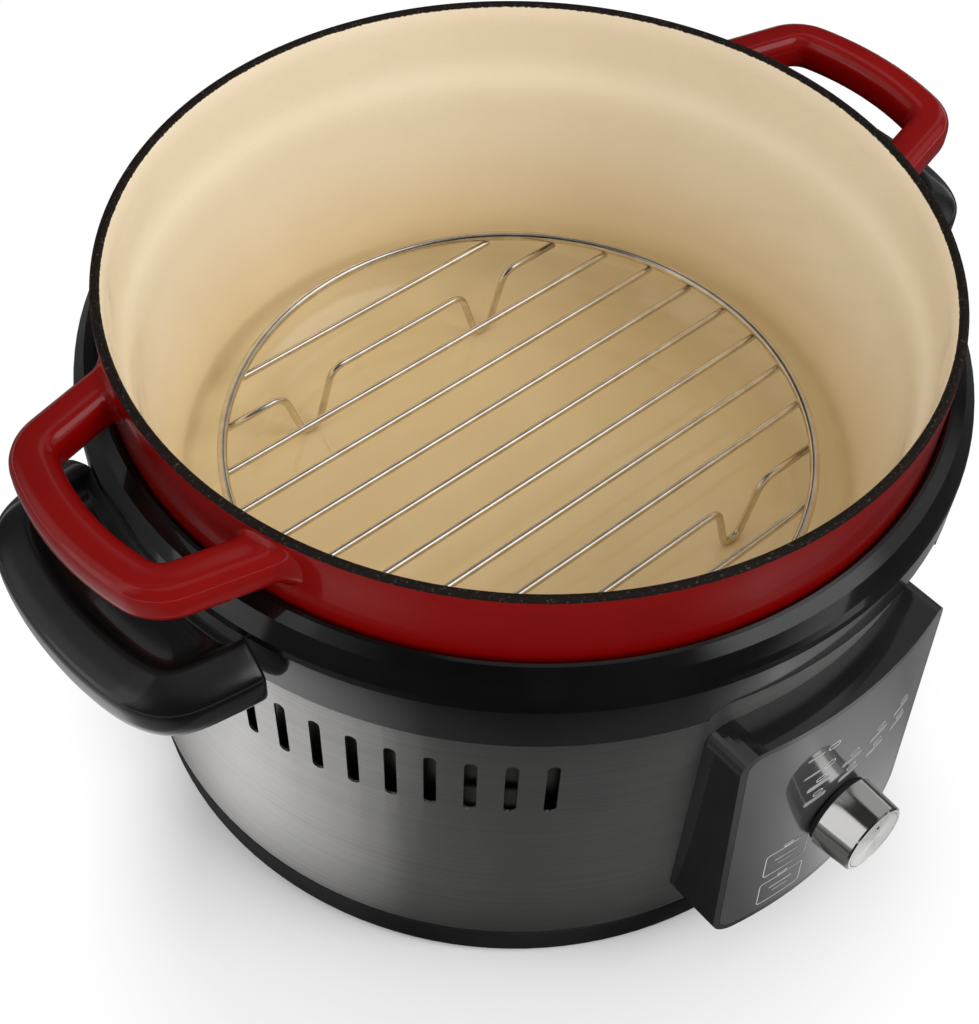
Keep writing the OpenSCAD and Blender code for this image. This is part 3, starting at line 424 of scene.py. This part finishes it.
def eased(points, steps=4):
    """A smooth line through the points, with more points between them."""
    line = []
    ends = [points[0]] + points + [points[-1]]
    for before, start, end, after in zip(ends, ends[1:], ends[2:], ends[3:]):
        for k in range(steps):
            t = k / steps
            line.append(tuple(
                0.5 * (2 * b + (c - a) * t + (2 * a - 5 * b + 4 * c - d) * t * t
                       + (3 * b - a - 3 * c + d) * t ** 3)
                for a, b, c, d in zip(before, start, end, after)))
    return line + [points[-1]]


def resampled(line, count):
    """Points at even distances along a line."""
    lengths = [0.0]
    for start, end in zip(line, line[1:]):
        lengths.append(lengths[-1] + math.dist(start, end))
    points = []
    k = 0
    for n in range(count):
        along = lengths[-1] * n / (count - 1)
        while k < len(line) - 2 and lengths[k + 1] < along:
            k += 1
        share = (along - lengths[k]) / (lengths[k + 1] - lengths[k])
        points.append(tuple(a + (b - a) * share for a, b in zip(line[k], line[k + 1])))
    return points


def joined(loops, first=0, round_loops=True, close=False):
    """Faces between neighbouring loops of the same number of points."""
    count = len(loops[0])
    around = count if round_loops else count - 1
    rows = len(loops) if close else len(loops) - 1
    faces = []
    for j in range(rows):
        low = first + j * count
        high = first + (j + 1) % len(loops) * count
        for k in range(around):
            after = (k + 1) % count
            faces.append((low + k, low + after, high + after, high + k))
    return faces


def make_piece(name, points, faces, finish, body="base", stands_for=None):
    """A piece from points in millimetres about the pot's axis. It rides on a body."""
    mesh = bpy.data.meshes.new(name)
    mesh.from_pydata([(x * MM, AXIS_Y + y * MM, z * MM) for x, y, z in points], [], faces)
    shape = bmesh.new()
    shape.from_mesh(mesh)
    bmesh.ops.recalc_face_normals(shape, faces=shape.faces)
    shape.to_mesh(mesh)
    shape.free()
    mesh.shade_smooth()
    mesh.materials.append(FINISHES[finish].material)
    piece = bpy.data.objects.new(name, mesh)
    bpy.context.scene.collection.objects.link(piece)
    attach(piece, body)
    if stands_for:
        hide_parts(stands_for)
    return piece


# The pot

WALL_R = 131.0
# A handle is a bar: two legs, two bends and a bow between them
BAR_W = 13.5
BAR_H = 13.0
BAR_EDGE_R = 4.7
BAR_MID_Z = 186.2
BOW_R = 97.0
BOW_X = 70.0
BEND_R = 19.0
BEND_AT = 15.46  # degrees from the handle's middle to where a bend starts
SPLAY = 14.0  # degrees by which the legs lean apart
ROOT_FILLET = 4.5
ROOT_STEPS = 8
BEND_STEPS = 12
BOW_STEPS = 6


def pot_profile():
    """The wall's section, as distance from the axis and height: inside, over the rim and down outside."""
    inside = [(0, 86.2), (60, 86.2)] + arc((93, 108.2), 22, -90, -12, 12)
    inside += eased([(115.8, 112), (118.6, 127.2), (121.8, 148.2), (122.8, 160.2), (123.9, 166.2),
                     (125.6, 171.2), (126.6, 176.2), (127, 184), (127.2, 190.2)], 3)
    rim = [(127.8, 194.6), (128.1, 195.5), (128.6, 196.1), (129.2, 196.2), (130.2, 196.2), (130.7, 196),
           (130.95, 195.5), (131.05, 194.8)]
    outside = eased([(131.2, 191.2), (131.1, 180), (131, 168), (129.8, 163), (127.4, 152.2), (123.4, 126),
                     (119.4, 100.2), (115.4, 89.2), (112.6, 84.4), (108, 81.3)], 3)
    return inside + rim + outside + [(104, 81.2), (0, 81.2)]


def pot_body(steps=192):
    """The cast pot, turned about its axis."""
    profile = pot_profile()
    points = [(0, 0, profile[0][1]), (0, 0, profile[-1][1])]
    turns = [2 * math.pi * k / steps for k in range(steps)]
    loops = [[(r * math.cos(t), r * math.sin(t), z) for t in turns] for r, z in profile[1:-1]]
    for loop in loops:
        points += loop
    faces = joined(loops, 2)
    last = len(points) - steps
    for k in range(steps):
        faces.append((0, 2 + k, 2 + (k + 1) % steps))
        faces.append((1, last + (k + 1) % steps, last + k))
    return points, faces


def bar_section(steps=6):
    """The bar's rounded section: distance outwards, distance up, and which way each side faces."""
    section = []
    for side, up, start in ((1, -1, -90), (1, 1, 0), (-1, 1, 90), (-1, -1, 180)):
        centre = (side * (BAR_W / 2 - BAR_EDGE_R), up * (BAR_H / 2 - BAR_EDGE_R))
        for k, (u, v) in enumerate(arc(centre, BAR_EDGE_R, start, start + 90, steps)):
            turned = math.radians(start + 90 * k / steps)
            section.append((u, v, math.cos(turned), math.sin(turned)))
    return section


def bend_centre():
    turned = math.radians(BEND_AT)
    return BOW_X + (BOW_R - BEND_R) * math.cos(turned), (BOW_R - BEND_R) * math.sin(turned)


def root_point(corner, spread, off_wall):
    """A point of a leg near the wall: spread out by the fillet and held off the wall."""
    u, v, face_u, face_v = corner
    mid_r = BEND_R - BAR_W / 2
    splay = math.radians(SPLAY)
    bend_x, bend_y = bend_centre()
    start = Vector((bend_x + mid_r * math.sin(splay), bend_y + mid_r * math.cos(splay)))
    inward = Vector((-math.cos(splay), math.sin(splay)))
    across = Vector((math.sin(splay), math.cos(splay)))
    rise = spread * face_v * (0.5 if face_v > 0 else 0.8)
    place = start + across * (u + spread * face_u)
    lean = place.dot(inward)
    reach = -lean - math.sqrt(max(lean * lean - place.length_squared + WALL_R ** 2, 0.0))
    place = place + inward * (reach - off_wall)
    return place.x, place.y, BAR_MID_Z + v + rise


def bar_loops():
    """Half of a handle, from the wall to the middle of its bow."""
    in_wall = 0.3
    section = bar_section()
    loops = []
    for k in range(ROOT_STEPS + 1):
        turned = math.radians(90 - 90 * k / ROOT_STEPS)
        spread = ROOT_FILLET * (1 - math.cos(turned)) - 0.02
        off_wall = ROOT_FILLET * (1 - math.sin(turned)) - in_wall
        loops.append([root_point(corner, spread, off_wall) for corner in section])
    loops.append([root_point(corner, 0, ROOT_FILLET + 4) for corner in section])

    def turned_loop(x, y, r, degrees):
        """The bar's section at a place of an arc."""
        turned = math.radians(degrees)
        return [(x + (r - BAR_W / 2 + u) * math.cos(turned), y + (r - BAR_W / 2 + u) * math.sin(turned),
                 BAR_MID_Z + v) for u, v, _, _ in section]

    bend_x, bend_y = bend_centre()
    for k in range(BEND_STEPS + 1):
        degrees = 90 - SPLAY + (BEND_AT - 90 + SPLAY) * k / BEND_STEPS
        loops.append(turned_loop(bend_x, bend_y, BEND_R, degrees))
    for k in range(1, BOW_STEPS + 1):
        loops.append(turned_loop(BOW_X, 0, BOW_R, BEND_AT * (1 - k / BOW_STEPS)))
    return loops


def pot():
    """The cast pot with both of its handles, whose ends are closed inside the wall."""
    points, faces = pot_body()
    half = bar_loops()
    for side in (1, -1):
        loops = [[(side * x, y, z) for x, y, z in loop] for loop in half]
        loops += [[(side * x, -y, z) for x, y, z in loop] for loop in reversed(half[:-1])]
        first = len(points)
        count = len(loops[0])
        faces += joined(loops, first)
        for loop in loops:
            points += loop
        faces += [tuple(range(first, first + count)), tuple(range(len(points) - count, len(points)))]
    return make_piece("pot_casting", points, faces, "pot_enamel", "pot", "pot")


# The side handles of the base

GRIP_LOW = 142.0
# Half of a grip's outline from above: distance from the pot's axis along the handle, and distance aside
GRIP_SIDE = [(136, 51.2), (142, 50.7), (148, 49.8), (154, 48.8), (160, 47.2), (165, 44.5), (169, 40.2),
             (172.2, 34.2), (174.6, 26), (176.3, 15), (176.9, 7), (177.1, 0)]
# Rings of a grip from its hollow underside to the floor of its dish: inset, radius where it starts, height
GRIP_RINGS = [
    (15, 152.6, GRIP_LOW + 9.4), (11, 151.4, GRIP_LOW + 9.2), (8.4, 150.6, GRIP_LOW + 8.2),
    (6.8, 149.6, GRIP_LOW + 6), (6.2, 149.4, GRIP_LOW + 1.4), (5.4, 148, GRIP_LOW + 0.3),
    (4.2, 139.6, GRIP_LOW + 0.05), (2.4, 139.4, GRIP_LOW + 0.5), (0.7, 139.2, GRIP_LOW + 2.4),
    (0, 139, GRIP_LOW + 5), (0, 139, GRIP_TOP - 8), (0.2, 139, GRIP_TOP - 6.4), (0.9, 139, GRIP_TOP - 5.2),
    (2.2, 139, GRIP_TOP - 4.2), (5.6, 139, GRIP_TOP - 2.3), (9.2, 139, GRIP_TOP - 0.6),
    (10.6, 139, GRIP_TOP - 0.1), (11.7, 139, GRIP_TOP - 0.3), (12.8, 139, GRIP_TOP - 1.6),
    (14, 139, GRIP_TOP - 3.5), (15.6, 139, GRIP_TOP - 4.9), (18, 139, GRIP_TOP - 5.4),
    (23, 139, GRIP_TOP - 5.5)]


def grip_loop(inset, start_r, z, count=22, inner=9):
    """One ring of a grip: along its side, round its end and back, and then along the collar."""
    side = eased(GRIP_SIDE, 5)
    moved = []
    for k, (x, y) in enumerate(side):
        before = side[max(k - 1, 0)]
        after = side[min(k + 1, len(side) - 1)]
        along = Vector((after[0] - before[0], after[1] - before[1])).normalized()
        if k == len(side) - 1:
            along = Vector((0, -1))
        x, y = x + along.y * inset, y - along.x * inset
        if math.hypot(x, y) >= start_r and y >= -0.001:
            moved.append((x, y))
    near = resampled(moved, count)
    loop = near + [(x, -y) for x, y in reversed(near[:-1])]
    turned = math.degrees(math.atan2(near[0][1], near[0][0]))
    loop += arc((0, 0), math.hypot(*near[0]), -turned, turned, inner)[1:-1]
    return [(x, y, z) for x, y in loop]


def grip(name, side, node):
    """A side handle of the base, whose far rings close its hollow underside and its dish."""
    loops = [grip_loop(*ring) for ring in GRIP_RINGS]
    points = [(side * x, y, z) for loop in loops for x, y, z in loop]
    count = len(loops[0])
    faces = joined(loops)
    faces += [tuple(range(count)), tuple(len(points) - count + k for k in range(count))]
    piece = make_piece(name, points, faces, "handle_black", "base", node)
    smooth = piece.modifiers.new("smooth", "SUBSURF")
    smooth.levels = 1
    smooth.render_levels = 2
    return piece


# The printed marks on the lens: lights, plain bars and the outlines of the touch keys

# The lens leans: its radius about the pot's axis at its foot and higher up
FACE_LOW_R = 157.5
FACE_TOP_R = 151.0
FACE_LOW_Z = 30.0
FACE_H = 102.5
PRINT_OFF = 0.02
PRINT_T = 0.05


def on_face(x, z, proud):
    """A point on the lens, from its place across and up."""
    r = FACE_LOW_R + (FACE_TOP_R - FACE_LOW_R) * (z - FACE_LOW_Z) / FACE_H + proud
    return x, -math.sqrt(r * r - x * x), z


def rounded(x, z, width, height, r, steps=5):
    """The outline of a mark with round corners, about its middle."""
    line = []
    for side, up, start in ((1, 1, 0), (-1, 1, 90), (-1, -1, 180), (1, -1, 270)):
        line += arc((x + side * (width / 2 - r), z + up * (height / 2 - r)), r, start, start + 90, steps)
    return line


class Prints:
    """Thin flat marks that lie on the lens."""

    def __init__(self):
        self.points = []
        self.faces = []

    def line(self, outer, width):
        """A line of a width along the inside of an outline with round corners."""
        x, z, w, h, r = outer
        loops = [rounded(*outer), rounded(x, z, w - 2 * width, h - 2 * width, max(r - width, 0.05))]
        count = len(loops[0])
        points = []
        for k in range(count):
            parts = max(1, math.ceil(math.dist(loops[0][k], loops[0][(k + 1) % count]) / 2.0))
            for n in range(parts):
                points.append([tuple(a + (b - a) * n / parts for a, b in zip(loop[k], loop[(k + 1) % count]))
                               for loop in loops])
        top = PRINT_OFF + PRINT_T
        rows = [[on_face(*pair[edge], proud) for pair in points]
                for edge, proud in ((0, PRINT_OFF), (0, top), (1, top), (1, PRINT_OFF))]
        self.faces += joined(rows, len(self.points), close=True)
        for row in rows:
            self.points += row

    def bar(self, x, z, width, height, r):
        """A filled mark, made of upright strips."""
        strips = math.ceil(width / 1.2) * 2
        top = PRINT_OFF + PRINT_T
        first = len(self.points)
        for k in range(strips + 1):
            across = -width / 2 + width * k / strips
            over = max(abs(across) - (width / 2 - r), 0)
            half = height / 2 - r + math.sqrt(max(r * r - over * over, 0)) + 0.01
            for up, proud in ((-half, PRINT_OFF), (half, PRINT_OFF), (half, top), (-half, top)):
                self.points.append(on_face(x + across, z + up, proud))
        loops = [self.points[first + 4 * k:first + 4 * k + 4] for k in range(strips + 1)]
        self.faces += joined(loops, first)
        last = len(self.points)
        self.faces += [(first + 3, first + 2, first + 1, first), (last - 4, last - 3, last - 2, last - 1)]


# Middles of the marks on the lens, across and up
LIGHT_ROWS = (113.6, 104.0)
PROGRAM_ROWS = (95.2, 87.2)
PROGRAM_COLUMNS = (-12.6, 2.2, 15.4, 28.4)
KEY_X = -19.6
KEYS = ((60.2, 17.4), (42.6, 17.8))  # height and width of each key's outline


def panel_prints():
    """Bright outlines and dim bars. A mark is given by its middle, width, height and corner radius."""
    bright = Prints()
    dim = Prints()
    for z in LIGHT_ROWS:
        bright.line((-9.4, z, 4.8, 2.3, 1.1), 0.3)
        dim.bar(-16.6, z, 6.6, 1.0, 0.2)
    for z in PROGRAM_ROWS:
        for x in PROGRAM_COLUMNS:
            dim.bar(x, z, 9.2, 2.2, 0.5)
            bright.line((x + 0.8, z + 3.0, 4.2, 2.0, 0.95), 0.28)
    for z, width in KEYS:
        bright.line((KEY_X, z, width, 13.2, 1.6), 0.32)
        bright.line((KEY_X, z + 7.5, 3.8, 1.4, 0.6), 0.28)
        dim.bar(KEY_X, z + 1.4, 9.4, 1.1, 0.2)
        dim.bar(KEY_X, z - 1.6, 6.4, 0.8, 0.2)
    marks = (("panel_print", bright, "print_pale"), ("panel_print_dim", dim, "print_grey"))
    for name, prints, finish in marks:
        piece = make_piece(name, prints.points, prints.faces, finish)
        piece.data.shade_flat()


# The legs of the rack

RACK_R = 100.6
RACK_BAR_Z = 110.8
RACK_FOOT_Z = 87.8
WIRE_R = 1.3
LEG_BAR_Y = 66.4
LEG_X = 40.5
DIP_TOP = 10.6  # half the width of a dip at the bar, and at its foot
DIP_FOOT = 3.4
DIP_BENDS = (6.5, 4, 4, 6.5)


def bent_line(points, radii, steps=8):
    """A line through the points, with its corners bent to the given radii."""
    line = [points[0]]
    for before, corner, after, r in zip(points, points[1:], points[2:], radii):
        back = (Vector(before) - Vector(corner)).normalized()
        ahead = (Vector(after) - Vector(corner)).normalized()
        half = back.angle(ahead) / 2
        centre = Vector(corner) + (back + ahead).normalized() * (r / math.sin(half))
        start = Vector(corner) + back * (r / math.tan(half)) - centre
        side = 1 if back.x * ahead.y - back.y * ahead.x < 0 else -1
        for k in range(steps + 1):
            turned = side * (math.pi - 2 * half) * k / steps
            line.append((centre.x + start.x * math.cos(turned) - start.y * math.sin(turned),
                         centre.y + start.x * math.sin(turned) + start.y * math.cos(turned)))
    return line + [points[-1]]


def rack_legs(sides=16):
    """Two bars that each dip twice to the pot's floor."""
    end = math.sqrt(RACK_R ** 2 - LEG_BAR_Y ** 2)
    path = [(-end, RACK_BAR_Z)]
    for middle in (-LEG_X, LEG_X):
        path += [(middle - DIP_TOP, RACK_BAR_Z), (middle - DIP_FOOT, RACK_FOOT_Z),
                 (middle + DIP_FOOT, RACK_FOOT_Z), (middle + DIP_TOP, RACK_BAR_Z)]
    line = bent_line(path + [(end, RACK_BAR_Z)], DIP_BENDS * 2)
    points = []
    faces = []
    for y in (-LEG_BAR_Y, LEG_BAR_Y):
        loops = []
        for k, (x, z) in enumerate(line):
            before = line[max(k - 1, 0)]
            after = line[min(k + 1, len(line) - 1)]
            along = Vector((after[0] - before[0], after[1] - before[1])).normalized()
            loop = []
            for n in range(sides):
                t = 2 * math.pi * n / sides
                off = WIRE_R * math.cos(t)
                loop.append((x - along.y * off, y + WIRE_R * math.sin(t), z + along.x * off))
            loops.append(loop)
        first = len(points)
        faces += joined(loops, first)
        for loop in loops:
            points += loop
        faces += [tuple(range(first, first + sides)), tuple(range(len(points) - sides, len(points)))]
    make_piece("rack_leg_bars", points, faces, "rack_wire", "rack", "rack_legs")


# The spring under the heat sensor

SPRING_LOW_Z = 56.1
SPRING_TOP_Z = 77.9
SPRING_R = 7.5
SPRING_WIRE_R = 0.6
SPRING_TURNS = 6
SPRING_CLEAR = 0.05


def sensor_coil(sides=10, steps=24):
    """The spring, with half a flat turn at each end."""
    low = SPRING_LOW_Z + SPRING_WIRE_R + SPRING_CLEAR
    high = SPRING_TOP_Z - SPRING_WIRE_R - SPRING_CLEAR
    loops = []
    for k in range(SPRING_TURNS * steps + 1):
        turn = 2 * math.pi * k / steps
        share = min(max((k / steps - 0.5) / (SPRING_TURNS - 1), 0), 1)
        height = low + (high - low) * share
        loop = []
        for n in range(sides):
            t = 2 * math.pi * n / sides
            r = SPRING_R + SPRING_WIRE_R * math.cos(t)
            loop.append((r * math.cos(turn), r * math.sin(turn), height + SPRING_WIRE_R * math.sin(t)))
        loops.append(loop)
    points = [point for loop in loops for point in loop]
    faces = joined(loops) + [tuple(range(sides)), tuple(range(len(points) - sides, len(points)))]
    piece = make_piece("sensor_coil", points, faces, "spring_steel", "base", "sensor_spring")
    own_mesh(piece)


pot()
rack_legs()
sensor_coil()
grip("grip_left", -1, "handle_left")
grip("grip_right", 1, "handle_right")
panel_prints()


# The room


def seen_rays(tree):
    """1 for what the camera sees, directly, in a reflection or through glass."""
    outputs = tree.node("ShaderNodeLightPath").socket.node.outputs
    kinds = [Wire(tree, outputs[kind]) for kind in ("Is Camera Ray", "Is Glossy Ray", "Is Transmission Ray")]
    return (kinds[0] + kinds[1] + kinds[2]).least(1.0)


def stage_ring(name, inner, outer, height, steps=96):
    """A flat ring about the pot's axis, which belongs to the room."""
    mesh = bpy.data.meshes.new(name)
    turns = [2 * math.pi * k / steps for k in range(steps)]
    points = [(r * math.sin(t), AXIS_Y - r * math.cos(t), height) for r in (inner, outer) for t in turns]
    faces = [(k, (k + 1) % steps, steps + (k + 1) % steps, steps + k) for k in range(steps)]
    mesh.from_pydata(points, [], faces)
    piece = bpy.data.objects.new(name, mesh)
    bpy.context.scene.collection.objects.link(piece)
    return piece


def floor():
    """A pale floor that keeps the object's shadow, furthest out in front, and is white beyond it."""
    shadow_full = 115 * MM
    shadow_end = 178 * MM
    front_reach = 75 * MM
    piece = stage_ring("floor", 0.001, 8.0, 0.0)
    paint = Paint("floor", shade(240), 0.9, Specular_IOR_Level=0.0)
    glow = paint.node("ShaderNodeEmission", inputs={"Color": WHITE, "Strength": 1.0})
    x, behind, _, r = paint.about_axis()
    front = (0 - behind * 0.82 - x * 0.57) / r
    near = r - front.rise(0.3, 0.98) * front_reach
    beyond = seen_rays(paint) * near.rise(shadow_full, shadow_end)
    plain = Wire(paint, paint.shader.outputs[0])
    paint.show(paint.node("ShaderNodeMixShader", inputs=[beyond, plain, glow]))
    piece.data.materials.append(paint.material)


# What the floor's cards show to a reflection: degrees round the pot's axis from the front, and the light
CARDS = [(-180, 0.15), (-136, 0.2), (-118, 0.4), (-103, 0.75), (-94, 1.0), (-86, 1.0), (-71, 0.62),
         (-57, 0.14), (-40, 0.1), (-8, 0.12), (4, 0.5), (9, 0.85), (14, 0.6), (34, 0.2), (80, 0.3),
         (130, 0.3), (180, 0.15)]


def flags():
    """Dark and light cards on the floor, which only reflections show, as a studio sets them round gloss.
    Close to the base they darken as a painted shadow.
    """
    piece = stage_ring("flags", 0.1, 3.0, 0.0008)
    for kind in ("camera", "diffuse", "transmission", "volume_scatter", "shadow"):
        setattr(piece, "visible_" + kind, False)
    paint = Paint("flags", BLACK, 1.0)
    x, behind, _, r = paint.about_axis()
    turn = paint.node("ShaderNodeMath", {"operation": "ARCTAN2"}, [x, 0 - behind]) * (180 / math.pi)
    stops = [((turned + 180) / 360, grey(light)) for turned, light in CARDS]
    ramp = paint.node("ShaderNodeValToRGB", {"stops": stops}, [turn / 360 + 0.5])
    # Close to the base the cards darken: a painted contact shadow that reflections show
    painted_base_shadow = r.rise(150 * MM, 170 * MM) * 0.88 + 0.12
    front = turn.rise(-98, -84)
    far_front = r.rise(228 * MM, 250 * MM) * front * 0.8
    far_left = r.rise(262 * MM, 280 * MM) * (1 - front) * 0.5
    share = (painted_base_shadow * (1 - far_front - far_left)).most(0.0)
    shown = paint.mix(share, BLACK, ramp)
    paint.show(paint.node("ShaderNodeEmission", inputs={"Color": shown, "Strength": 1.0}))
    piece.data.materials.append(paint.material)


# Soft boxes that only reflections show: the way to each one's middle as x, y and z, the cosines of its outer
# edge and of where it is full, and its light
SOFT_BOXES = [
    ((-0.72, 0.42, 0.55), (0.78, 0.97), 0.42),
    ((0.68, -0.49, 0.54), (0.84, 0.97), 0.4),
    ((0.426, 0.465, 0.776), (0.975, 0.99), 0.4),
    ((-0.907, 0.36, 0.22), (0.965, 0.985), 0.9),
    ((0.0, 0.0, 1.0), (0.9, 0.97), 0.3),
]
# The box that draws a white line along the rack's wires
WIRE_BOX = (0.426, -0.465, 0.776)


def world():
    """Soft even light and a white backdrop. Reflections see a dark room with soft boxes."""
    made = bpy.data.worlds.new("room")
    bpy.context.scene.world = made
    made.use_nodes = True
    made.cycles.sampling_method = "NONE"
    tree = Tree(made.node_tree)
    x, y, z = tree.axes(tree.way())

    def toward(way, edges):
        return (x * way[0] + y * way[1] + z * way[2]).rise(*edges)

    boxes = sum(toward(way, edges) * light for way, edges, light in SOFT_BOXES)
    band = y.rise(0.06, 0.11) * (1 - y.rise(0.26, 0.32))
    in_band = (1 - x.rise(-0.42, -0.3)) * 0.7 + x.rise(0.42, 0.5) * 0.3
    backdrop = tree.mix(z.rise(-0.02, 0.045), grey(0.85), grey(0.02))
    room = tree.mix(boxes * (1 - band) + in_band * band, backdrop, WHITE)
    room = tree.mix(toward(WIRE_BOX, (0.93, 0.975)), room, grey(1.7))
    soft = tree.mix(z.rise(0.3, 0.95), grey(0.99), grey(0.9))
    shown = tree.mix(seen_rays(tree), soft, room)
    camera_ray = tree.node("ShaderNodeLightPath")
    tree.feed(tree.tree.nodes["Background"].inputs["Color"], tree.mix(camera_ray, shown, WHITE))


def lamp(name, place, target, width, height, power):
    """A soft lamp that reflections don't show."""
    light = bpy.data.lights.new(name, "AREA")
    light.shape = "RECTANGLE"
    light.size = width
    light.size_y = height
    light.energy = power
    piece = bpy.data.objects.new(name, light)
    bpy.context.scene.collection.objects.link(piece)
    piece.location = place
    piece.rotation_euler = (Vector(target) - Vector(place)).to_track_quat("-Z", "Y").to_euler()
    piece.visible_camera = False
    piece.visible_glossy = False


# The camera that was fitted to the photograph
CAMERA_PLACE = (-0.25278, -0.24825, 0.51771)
AZIMUTH = -42.5
ELEVATION = 50.86
ROLL = 2.5
FOCAL_PIXELS = 1590.87
LONG_SIDE_PIXELS = 1024
SENSOR_MM = 36


def camera():
    """The photograph's view: from above and to the left of the panel, a little rolled."""
    azimuth, elevation, roll = (math.radians(angle) for angle in (AZIMUTH, ELEVATION, ROLL))
    back = Vector((math.sin(azimuth) * math.cos(elevation),
                   -math.cos(azimuth) * math.cos(elevation), math.sin(elevation)))
    right = Vector((math.cos(azimuth), math.sin(azimuth), 0))
    up = back.cross(right)
    across = right * math.cos(roll) + up * math.sin(roll)
    over = up * math.cos(roll) - right * math.sin(roll)
    lens = bpy.data.cameras.new("camera")
    lens.sensor_width = SENSOR_MM
    lens.sensor_fit = "AUTO"
    lens.lens = FOCAL_PIXELS * SENSOR_MM / LONG_SIDE_PIXELS
    lens.clip_start = 0.01
    piece = bpy.data.objects.new("camera", lens)
    bpy.context.scene.collection.objects.link(piece)
    turn = Matrix((across, over, back)).transposed().to_4x4()
    piece.matrix_world = Matrix.Translation(Vector(CAMERA_PLACE)) @ turn
    bpy.context.scene.camera = piece


floor()
flags()
world()
lamp("key", (0.6, -1.15, 1.15), (0, 0, 0.12), 0.9, 0.7, 12.5)
lamp("side", (-1.5, 0.3, 0.9), (0, 0, 0.1), 0.7, 1.0, 3.5)
camera()
bpy.context.scene.view_settings.view_transform = "Standard"
